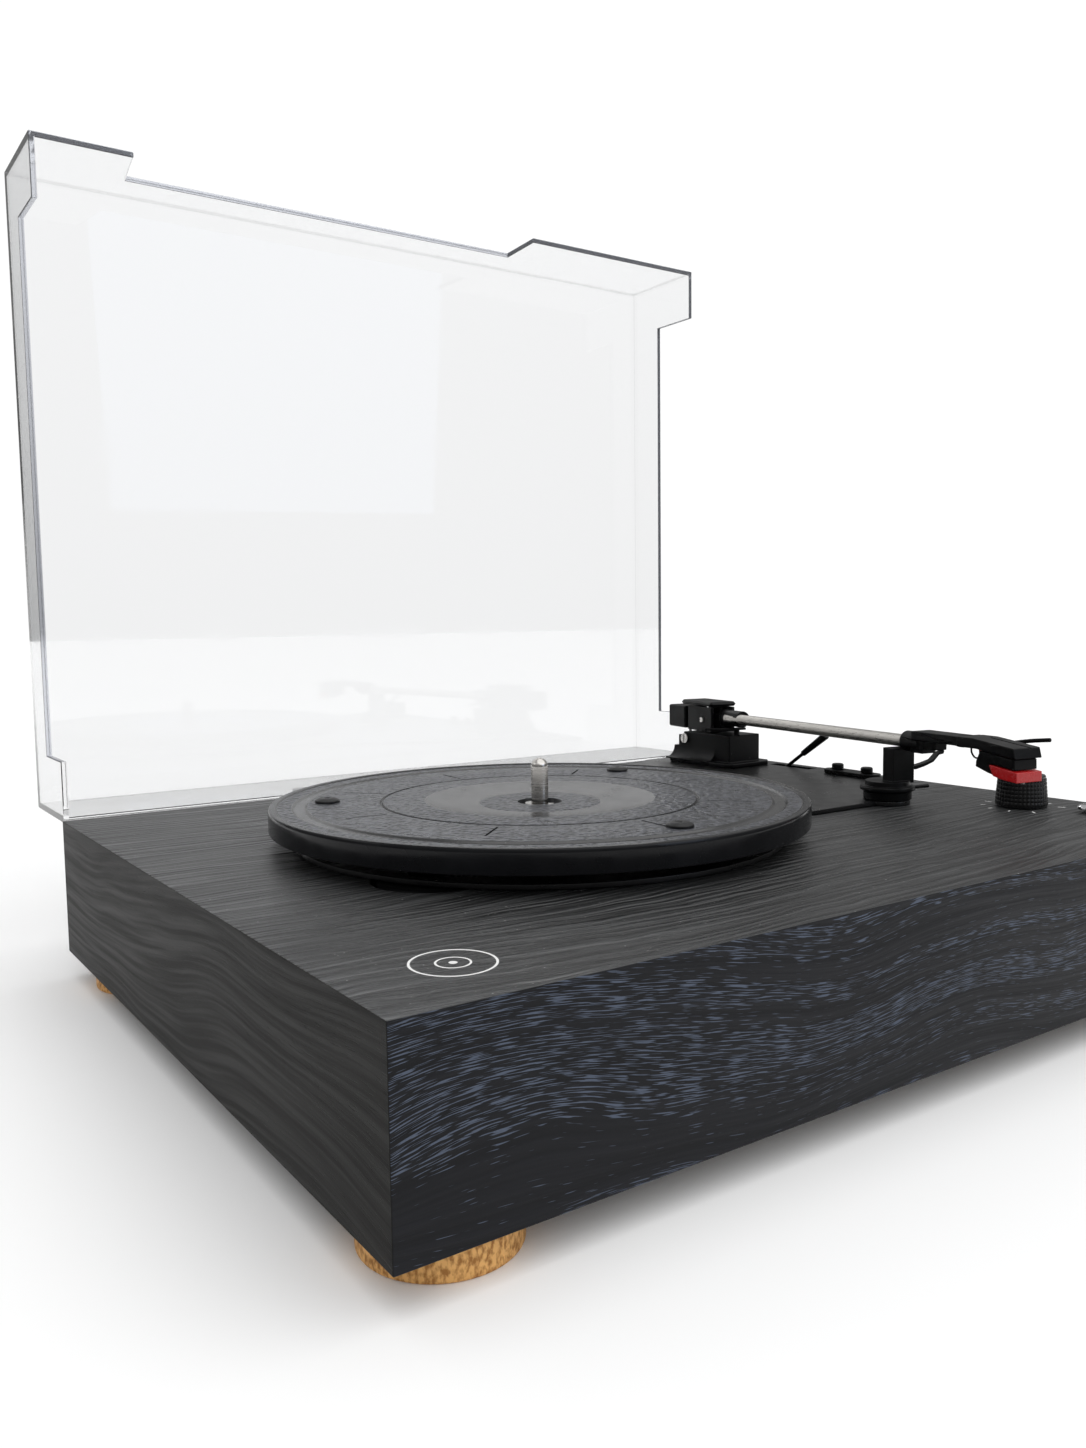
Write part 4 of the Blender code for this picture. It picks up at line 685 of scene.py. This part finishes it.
def build_platter(settings):
    centre = middle("platter")
    radius = radius_of("platter")
    face = DECK + PLATTER_FACE
    textured = ((0.0092, 0.0245), (0.0475, 0.0641), (0.0659, 0.0943), (0.1007, radius - 0.0036))
    polished = ((0.0245, 0.0475), (0.0943, 0.1007))

    def zone(reach, z):
        """0 for the smooth rim and underside, 1 for the textured face, 2 for the dish."""
        if z < face - 0.0025:
            return 0
        if any(a < reach < b for a, b in polished):
            return 2
        return int(any(a < reach < b for a, b in textured))

    mesh = lathe("platter_plate", platter_profile(radius), settings.steps, centre, zone)
    engrave_marks(mesh, centre, face, settings)
    black = tuple(settings.black)
    smooth = finish_named("platter_gloss", moulded, black, roughness=0.17, grain=0.02,
                          specular=0.18, dusty=0.02)
    rough = finish_named("platter_grain", leathery_with_painted_highlights, tuple(1.2 * c for c in black))
    dish = finish_named("platter_dish", moulded, black, roughness=0.20, grain=0.03,
                        specular=0.75, dusty=0.03)
    show("platter_plate", mesh, "platter_set", "black_gloss_plastic", (smooth, rough, dish),
         ("platter",))
    rubber = finish_named("pad_rubber", moulded, (0.0035, 0.0035, 0.0038), roughness=0.42,
                          specular=0.4, dusty=0.06)
    for k in (1, 2, 3):
        node = f"platter_pad_{k}"
        low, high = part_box(node)
        pad, tip = radius_of(node), high.z
        section = filleted([(0, tip - 0.0005, 0), (0.0009, tip - 0.0005, 0.0003),
                            (0.0013, tip, 0.0003), (pad - 0.0016, tip, 0.0006),
                            (pad, tip - 0.0009, 0.0004), (pad, low.z, 0), (0, low.z, 0)])
        show(f"rubber_pad_{k}", lathe(node, section, 48, middle(node)), "platter_set",
             "pad_rubber", (rubber,), (node,))


def engrave_marks(mesh, centre, face, settings):
    """Cuts the platter's radial grooves, by a Boolean that is applied to the mesh."""
    shape = bmesh.new()
    length = settings.mark_end - settings.mark_start
    reach = (settings.mark_start + settings.mark_end) / 2
    for k in range(settings.mark_count):
        turn = settings.mark_turn + math.tau * k / settings.mark_count
        cube = bmesh.ops.create_cube(shape, size=1.0)["verts"]
        bmesh.ops.scale(shape, vec=(length, settings.mark_width, MARK_DEPTH), verts=cube)
        bmesh.ops.translate(shape, vec=(reach, 0, 0), verts=cube)
        bmesh.ops.rotate(shape, matrix=Matrix.Rotation(turn, 3, "Z"), cent=(0, 0, 0),
                         verts=cube)
    bmesh.ops.translate(shape, vec=(centre.x, centre.y, face), verts=shape.verts)
    tool = mesh_of("marks", shape)
    cutter = bpy.data.objects.new("marks", tool)
    blank = bpy.data.objects.new("platter_blank", mesh)
    for part in (cutter, blank):
        bpy.context.scene.collection.objects.link(part)
    cutter.hide_render = True
    step = blank.modifiers.new("marks", "BOOLEAN")
    step.operation = "DIFFERENCE"
    step.solver = "EXACT"
    step.object = cutter
    bpy.context.view_layer.update()
    graph = bpy.context.evaluated_depsgraph_get()
    carved = bmesh.new()
    carved.from_mesh(blank.evaluated_get(graph).data)
    carved.to_mesh(mesh)
    carved.free()
    mesh.set_sharp_from_angle(angle=math.radians(50))
    bpy.data.objects.remove(blank)
    bpy.data.objects.remove(cutter)
    bpy.data.meshes.remove(tool)


def build_bearing():
    low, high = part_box("spindle")
    radius = radius_of("spindle")
    neck = radius - 0.0006
    tip = [(radius * math.sin(a), high.z - radius * (1 - math.cos(a)))
           for a in (math.radians(90 * k / 10) for k in range(11))]
    profile = [*tip, (radius, DECK + 0.0135), (neck, DECK + 0.0133), (neck, DECK + 0.0122),
               (radius, DECK + 0.0120), (radius, low.z), (0, low.z)]
    steel = finish_named("spindle_steel", metal, (0.60, 0.58, 0.55), 0.20,
                         (60.0, 60.0, 1500.0))
    show("steel_spindle", lathe("spindle", profile, 64, middle("spindle")), "chassis", "steel",
         (steel,), ("spindle",))
    eased("spindle_clip", "steel_clip", 0.00012, steel)
    rounded("spindle_bush", "bronze_bush", 0.0002,
          finish_named("bronze", metal, (0.45, 0.33, 0.16), 0.35))
    rounded("thrust_washer", "nylon_washer", 0.0001,
          finish_named("nylon", glossy, (0.78, 0.76, 0.68)))


def build_drive():
    for node, name, edge, finish in (
            ("drive_motor", "motor_can", 0.0002, black_plastic()),
            ("motor_pulley", "brass_pulley", 0.0001,
             finish_named("turned_brass", metal, (0.72, 0.53, 0.22), 0.25)),
            ("drive_belt", "flat_belt", 0.00015,
             finish_named("belt_rubber", moulded, (0.012, 0.012, 0.012), roughness=0.6)),
            ("circuit_board", "amplifier_board", 0.0001,
             finish_named("green_board", glossy, (0.02, 0.16, 0.06))),
            ("volume_pot", "potentiometer", 0.0002,
             finish_named("zinc_plate", metal, (0.52, 0.52, 0.53), 0.38)),
            ("volume_shaft", "knob_shaft", 0.0002, bright_steel()),
            ("button_switch", "switch_body", 0.0002, black_plastic())):
        rounded(node, name, edge, finish)


# ---------------------------------------------------------------- controls and marks

def build_knob(settings):
    low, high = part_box("volume_knob")
    centre = middle("volume_knob")
    radius = radius_of("volume_knob")
    height = high.z - low.z
    ribbed_low, ribbed_high = low.z + KNOB_FOOT, high.z - KNOB_CROWN
    shape = bmesh.new()
    around = 4 * settings.ribs
    levels = [(low.z, False), (low.z + 0.0004, False)]
    for row in range(settings.rows):
        start = ribbed_low + (ribbed_high - ribbed_low) * row / settings.rows
        pitch = (ribbed_high - ribbed_low) / settings.rows
        levels += [(start + 0.18 * pitch, True), (start + 0.82 * pitch, True),
                   (start + 0.97 * pitch, False)]

    def loop_at(z, reaches):
        """A loop of points about the knob's axis, each at its own reach."""
        return [shape.verts.new((centre.x + reach * math.cos(math.tau * k / around),
                                 centre.y + reach * math.sin(math.tau * k / around), z))
                for k, reach in enumerate(reaches)]

    rings = []
    for z, raised in levels:
        taper = radius - KNOB_TAPER * (z - low.z) / height
        rings.append(loop_at(z, [taper - (0.0 if raised and k % 4 in (1, 2)
                                          else settings.rib_depth) for k in range(around)]))
    for share, drop in ((0.985, 0.0006), (0.955, 0.00015), (0.90, 0.0), (0.45, 0.0003)):
        rings.append(loop_at(high.z - drop, [(radius - KNOB_TAPER) * share] * around))
    for lower, upper in zip(rings, rings[1:]):
        for k in range(around):
            shape.faces.new((lower[k], lower[(k + 1) % around], upper[(k + 1) % around],
                             upper[k]))
    shape.faces.new(reversed(rings[0]))
    shape.faces.new(rings[-1])
    mesh = mesh_of("knurled_knob", shape)
    mesh.shade_smooth()
    mesh.set_sharp_from_angle(angle=math.radians(35))
    plastic = finish_named("knob_plastic", moulded, (0.0016, 0.0016, 0.0018), roughness=0.30,
                           specular=0.3)
    show("knurled_knob", mesh, "knob", "black_plastic", (plastic,), ("volume_knob",))
    half, near, far = 0.0005, radius * 0.50, radius * 0.80
    line = flat_shape("knob_line", [[(-half, near), (half, near), (half, far), (-half, far)]],
                      high.z - 0.0002, high.z - 0.00002)
    line.transform(Matrix.Translation((centre.x, centre.y, 0)))
    show("knob_pointer", line, "knob", "black_plastic", (printed_white(settings),))


def printed_white(settings):
    return finish_named("printed_white", glossy, tuple(settings.white), 0.5)


def build_switches():
    low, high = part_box("mode_button")
    radius = radius_of("mode_button")
    cap = DECK + 0.0015
    profile = filleted([(0, high.z, 0), (radius - 0.0012, high.z, 0.0006),
                        (radius, high.z - 0.0011, 0.0006), (radius, cap, 0.0002),
                        (0.003, cap, 0.0002), (0.003, low.z, 0), (0, low.z, 0)])
    chrome = finish_named("polished_chrome", metal, (0.86, 0.86, 0.87), 0.10,
                          (80.0, 80.0, 80.0), 0.02)
    show("chrome_button", lathe("mode_button", profile, 64, middle("mode_button")), "button",
         "chrome", (chrome,), ("mode_button",))
    eased("switch_bezel", "slider_bezel", 0.0003, black_plastic())
    rounded("speed_slider", "speed_stud_cap", 0.0002, black_plastic())
    rounded("autostop_slider", "autostop_stud_cap", 0.0002, black_plastic())


def build_marks(settings):
    """Plain ticks round the volume knob and a disc mark on the deck's front left corner."""
    low = DECK + MARK_LIFT
    high = low + settings.mark_height
    white = printed_white(settings)
    spot = middle("volume_knob").xy
    loops = []
    for k in range(TICKS):
        turn = math.radians(FIRST_TICK + TICK_STEP * k)
        end = LONG_TICK_END if k % 4 == 0 else TICK_END
        across = Vector((-math.sin(turn), math.cos(turn))) * TICK_HALF_WIDTH
        along = Vector((math.cos(turn), math.sin(turn)))
        near, far = spot + along * TICK_START, spot + along * end
        loops.append([tuple(near - across), tuple(far - across), tuple(far + across),
                      tuple(near + across)])
    show("volume_ticks", flat_shape("volume_ticks", loops, low, high), "chassis",
         "black_plastic", (white,))
    x, y = LEFT + DISC_INSET[0], FRONT + DISC_INSET[1]
    rings = [ring(x, y, radius, count) for radius, count in DISC_RINGS]
    show("disc_mark", flat_shape("disc_mark", rings, low, high), "chassis", "black_plastic",
         (white,))


# ---------------------------------------------------------------- tonearm

def build_mechanism(settings):
    plate = finish_named("deck_plate", moulded, tuple(1.2 * c for c in settings.black),
                         roughness=0.30, grain=0.05, specular=0.45)
    eased("mechanism_plate", "deck_plate", 0.00035, plate)
    eased("arm_pedestal", "arm_stand", 0.0006, black_plastic(), segments=3)
    rounded("pedestal_screw", "stand_screw", 0.00015, bright_steel())
    for node, name in (("arm_rest", "rest_post"), ("arm_clip", "rest_clip"),
                       ("cue_lever", "lift_handle"), ("cue_platform", "lift_platform")):
        rounded(node, name, 0.00022, black_plastic())


def build_arm(settings):
    for node, name, edge in (("arm_fork", "pivot_fork", 0.0003),
                             ("arm_cap", "pivot_cap", 0.0003),
                             ("arm_tail", "tail_block", 0.0004),
                             ("headshell", "head_plate", 0.0004)):
        eased(node, name, edge, black_plastic())
    for node in ("pivot_screw_left", "pivot_screw_right"):
        rounded(node, f"steel_{node}", 0.00012, bright_steel())
    eased("finger_lift", "finger_grip", 0.0001, black_plastic(), angle=SHARP_GRIP)
    brushed = finish_named("brushed_tube", metal, tuple(settings.tube), 0.30,
                           (1400.0, 90.0, 1400.0), 0.22)
    rod = tube_mesh("arm_rod", tube_ends(NODES["arm_tube"]), settings.tube_radius, 40)
    show("arm_rod", rod, "arm", "brushed_tube", (brushed,), ("arm_tube",))


def tube_ends(node):
    """The middle points of a straight tube's two end faces."""
    points = [v.co.copy() for v in node.data.vertices]
    mid = sum(points, Vector()) / len(points)
    far = max(points, key=lambda p: (p - mid).length)
    along = far - mid
    along.z = 0
    along.normalize()
    reach = max((p - mid).dot(along) for p in points)
    near_end = [p for p in points if (p - mid).dot(along) > reach - 1e-4]
    far_end = [p for p in points if (p - mid).dot(along) < -reach + 1e-4]
    return [sum(group, Vector()) / len(group) for group in (near_end, far_end)]


def build_cartridge(settings):
    eased("cartridge", "cartridge_body", 0.00035, black_plastic())
    red = finish_named("red_holder", glossy, tuple(settings.red), 0.25)
    eased("stylus_holder", "red_stylus_holder", 0.0003, red)
    eased("stylus", "stylus_rod", 0.00003, bright_steel(), angle=SHARP_WIRE)
    for k, tint in ((1, (0.012, 0.012, 0.012)), (2, (0.45, 0.02, 0.02))):
        eased(f"cartridge_lead_{k}", f"head_wire_{k}", 0.00003,
              finish_named(f"wire_{k}", glossy, tint), angle=SHARP_WIRE)


# ---------------------------------------------------------------- cover and back

def build_cover(settings):
    clear = finish_named("clear_acrylic", acrylic, tuple(settings.clear))
    rim = finish_named("acrylic_rim", acrylic, tuple(settings.rim), 0.80, 0.12)
    made = eased("dust_cover", "clear_cover", settings.edge, clear, more=(rim,), flat=True)
    for face in made.data.polygons:
        narrowest = min(edge_length(made.data, key) for key in face.edge_keys)
        thin = narrowest < RIM_WIDTH and len(face.vertices) <= RIM_CORNERS
        face.material_index = int(thin)
    for side in ("left", "right"):
        rounded(f"hinge_leaf_{side}", f"cover_leaf_{side}", 0.0003, black_plastic())
        rounded(f"hinge_bracket_{side}", f"back_bracket_{side}", 0.0003, black_plastic())
        rounded(f"hinge_pin_{side}", f"steel_hinge_pin_{side}", 0.0002, bright_steel())


def edge_length(mesh, key):
    """The length of an edge, from the numbers of its two points."""
    return (mesh.vertices[key[0]].co - mesh.vertices[key[1]].co).length


def build_sockets():
    eased("jack_plate", "socket_plate", 0.0003, black_plastic())
    for node, tint in (("rca_jack_left", (0.74, 0.74, 0.72)),
                       ("rca_jack_right", (0.5, 0.02, 0.02))):
        rounded(node, f"{node}_ring", 0.0002, finish_named(f"{node}_plastic", glossy, tint))
    for node in ("aux_jack", "power_jack"):
        rounded(node, f"{node}_ring", 0.0002, black_plastic())


# ---------------------------------------------------------------- stage

def even_light(settings):
    """A white backdrop that gloss sees as a dimmer room, brighter higher up."""
    world = bpy.data.worlds.new("even_light")
    world.use_nodes = True
    tree = world.node_tree
    sky = tree.nodes["Background"]
    sky.inputs["Color"].default_value = (1.0, 1.0, 1.0, 1.0)
    rays = tree.nodes.new("ShaderNodeLightPath").outputs

    def step(kind, inputs, **values):
        made = tree.nodes.new(kind)
        for key, value in values.items():
            setattr(made, key, value)
        for key, value in inputs.items():
            if isinstance(value, bpy.types.NodeSocket):
                tree.links.new(value, made.inputs[key])
            else:
                made.inputs[key].default_value = value
        return made.outputs[0]

    def mixed(share, a, b):
        return step("ShaderNodeMix", {0: share, 2: a, 3: b})

    place = tree.nodes.new("ShaderNodeTexCoord").outputs["Generated"]
    split = tree.nodes.new("ShaderNodeSeparateXYZ")
    tree.links.new(place, split.inputs[0])
    height = step("ShaderNodeMapRange", {"Value": split.outputs[2], "From Min": 0.0,
                                         "From Max": 0.45})
    bounced = step("ShaderNodeMath", {0: rays["Glossy Depth"], 1: 1.0}, operation="MINIMUM")
    direct = step("ShaderNodeMath", {0: rays["Is Glossy Ray"], 1: rays["Is Transmission Ray"]},
                  operation="SUBTRACT", use_clamp=True)
    room = mixed(height, settings.reflected, 6.5 * settings.reflected)
    behind = mixed(height, settings.behind, 3.0 * settings.behind)
    strength = mixed(bounced, settings.backdrop, behind)
    strength = mixed(rays["Is Diffuse Ray"], strength, settings.sky)
    strength = mixed(direct, strength, room)
    tree.links.new(strength, sky.inputs["Strength"])
    return world


def build_stage(settings):
    shape = bmesh.new()
    bmesh.ops.create_grid(shape, x_segments=1, y_segments=1, size=FLOOR_SIZE)
    floor_mesh = mesh_of("studio_floor", shape)
    paper = Finish("studio_paper", tuple(settings.floor), 0.9)
    fibre = paper.noise(paper.spread(60.0), 3.0)
    floor_mesh.materials.append(paper.use(Normal=paper.relief(fibre, 0.02, 0.0005)))
    floor = bpy.data.objects.new("studio_floor", floor_mesh)
    bpy.context.scene.collection.objects.link(floor)
    bpy.context.scene.world = even_light(settings)
    sun = bpy.data.lights.new("soft_key", "SUN")
    sun.energy = settings.key
    sun.angle = math.radians(KEY_ANGLE)
    lamp = bpy.data.objects.new("soft_key", sun)
    lamp.rotation_euler = facing(Vector(KEY_DIRECTION))
    bpy.context.scene.collection.objects.link(lamp)
    for name, place, aim, size, share, tint in SOFT_LIGHTS:
        add_light(name, place, aim, size, share * settings.window, tint)
    add_camera(settings)


def facing(direction):
    """The rotation that points a light along a direction."""
    return direction.to_track_quat("-Z", "Y").to_euler()


def add_light(name, place, aim, size, power, tint):
    """A soft square light that shows in gloss only."""
    light = bpy.data.lights.new(name, "AREA")
    light.shape = "SQUARE"
    light.size = size
    light.energy = power
    light.color = tint
    lamp = bpy.data.objects.new(name, light)
    lamp.visible_diffuse = False
    lamp.visible_camera = False
    lamp.visible_transmission = False
    lamp.location = place
    lamp.rotation_euler = facing(Vector(aim) - Vector(place))
    bpy.context.scene.collection.objects.link(lamp)


def add_camera(settings):
    """The camera, from its place, turn, tilt and roll."""
    yaw, pitch, roll = settings.camera_yaw, settings.camera_pitch, settings.camera_roll
    forward = Vector((math.sin(yaw) * math.cos(pitch), math.cos(yaw) * math.cos(pitch),
                      -math.sin(pitch)))
    level = Vector((math.cos(yaw), -math.sin(yaw), 0))
    down = forward.cross(level)
    right = math.cos(roll) * level + math.sin(roll) * down
    below = math.cos(roll) * down - math.sin(roll) * level
    turn = Matrix((right, -below, -forward)).transposed().to_4x4()
    lens = bpy.data.cameras.new("view")
    lens.sensor_width = 36.0
    lens.lens = settings.lens
    lens.clip_start = 0.01
    camera = bpy.data.objects.new("view", lens)
    camera.matrix_world = Matrix.Translation(Vector(settings.camera_place)) @ turn
    bpy.context.scene.collection.objects.link(camera)
    bpy.context.scene.camera = camera
    bpy.context.scene.view_settings.view_transform = "Standard"


# ---------------------------------------------------------------- operators

class RECORD_PLAYER_OT_plinth(bpy.types.Operator):
    """Builds the veneered plinth and its base board"""
    bl_idname = "record_player.plinth"
    bl_label = "Plinth"

    def execute(self, context):
        build_plinth(context.scene.record_player_plinth)
        return {"FINISHED"}


class RECORD_PLAYER_OT_feet(bpy.types.Operator):
    """Builds the four cork feet"""
    bl_idname = "record_player.feet"
    bl_label = "Feet"

    def execute(self, context):
        build_feet(context.scene.record_player_plinth)
        return {"FINISHED"}


class RECORD_PLAYER_OT_platter(bpy.types.Operator):
    """Builds the platter and its rubber pads"""
    bl_idname = "record_player.platter"
    bl_label = "Platter"

    def execute(self, context):
        build_platter(context.scene.record_player_platter)
        return {"FINISHED"}


class RECORD_PLAYER_OT_drive(bpy.types.Operator):
    """Builds the spindle, its bearing and the drive under the deck"""
    bl_idname = "record_player.drive"
    bl_label = "Bearing and drive"

    def execute(self, context):
        build_bearing()
        build_drive()
        return {"FINISHED"}


class RECORD_PLAYER_OT_controls(bpy.types.Operator):
    """Builds the knob, the button, the sliders and the printed marks"""
    bl_idname = "record_player.controls"
    bl_label = "Controls"

    def execute(self, context):
        build_knob(context.scene.record_player_controls)
        build_switches()
        build_marks(context.scene.record_player_controls)
        return {"FINISHED"}


class RECORD_PLAYER_OT_mechanism(bpy.types.Operator):
    """Builds the deck plate, the arm's stand and rest and the cue lift"""
    bl_idname = "record_player.mechanism"
    bl_label = "Mechanism"

    def execute(self, context):
        build_mechanism(context.scene.record_player_arm)
        return {"FINISHED"}


class RECORD_PLAYER_OT_tonearm(bpy.types.Operator):
    """Builds the tonearm with its headshell and cartridge"""
    bl_idname = "record_player.tonearm"
    bl_label = "Tonearm"

    def execute(self, context):
        build_arm(context.scene.record_player_arm)
        build_cartridge(context.scene.record_player_arm)
        return {"FINISHED"}


class RECORD_PLAYER_OT_cover(bpy.types.Operator):
    """Builds the clear cover and its hinges"""
    bl_idname = "record_player.cover"
    bl_label = "Dust cover"

    def execute(self, context):
        build_cover(context.scene.record_player_cover)
        return {"FINISHED"}


class RECORD_PLAYER_OT_sockets(bpy.types.Operator):
    """Builds the connector plate and its sockets"""
    bl_idname = "record_player.sockets"
    bl_label = "Sockets"

    def execute(self, context):
        build_sockets()
        return {"FINISHED"}


class RECORD_PLAYER_OT_stage(bpy.types.Operator):
    """Builds the floor, the lights and the camera"""
    bl_idname = "record_player.stage"
    bl_label = "Stage"

    def execute(self, context):
        build_stage(context.scene.record_player_stage)
        return {"FINISHED"}


OPERATORS = (
    RECORD_PLAYER_OT_plinth, RECORD_PLAYER_OT_feet, RECORD_PLAYER_OT_platter,
    RECORD_PLAYER_OT_drive, RECORD_PLAYER_OT_controls, RECORD_PLAYER_OT_mechanism,
    RECORD_PLAYER_OT_tonearm, RECORD_PLAYER_OT_cover, RECORD_PLAYER_OT_sockets,
    RECORD_PLAYER_OT_stage)


class RECORD_PLAYER_PT_panel(bpy.types.Panel):
    """Lists the record player's pieces"""
    bl_idname = "RECORD_PLAYER_PT_panel"
    bl_label = "Record Player"
    bl_space_type = "VIEW_3D"
    bl_region_type = "UI"
    bl_category = "Record Player"

    def draw(self, context):
        for operator in OPERATORS:
            self.layout.operator(operator.bl_idname)


SETTINGS = {
    "record_player_plinth": PlinthSettings, "record_player_platter": PlatterSettings,
    "record_player_arm": ArmSettings, "record_player_controls": ControlSettings,
    "record_player_cover": CoverSettings, "record_player_stage": StageSettings}


def register():
    for group in SETTINGS.values():
        bpy.utils.register_class(group)
    for name, group in SETTINGS.items():
        setattr(bpy.types.Scene, name, PointerProperty(type=group))
    for operator in OPERATORS:
        bpy.utils.register_class(operator)
    bpy.utils.register_class(RECORD_PLAYER_PT_panel)


def unregister():
    bpy.utils.unregister_class(RECORD_PLAYER_PT_panel)
    for operator in reversed(OPERATORS):
        bpy.utils.unregister_class(operator)
    for name, group in SETTINGS.items():
        delattr(bpy.types.Scene, name)
        bpy.utils.unregister_class(group)


def main():
    register()
    for operator in OPERATORS:
        getattr(bpy.ops.record_player, operator.bl_idname.split(".")[1])()
    bpy.context.view_layer.update()


if __name__ == "__main__":
    main()
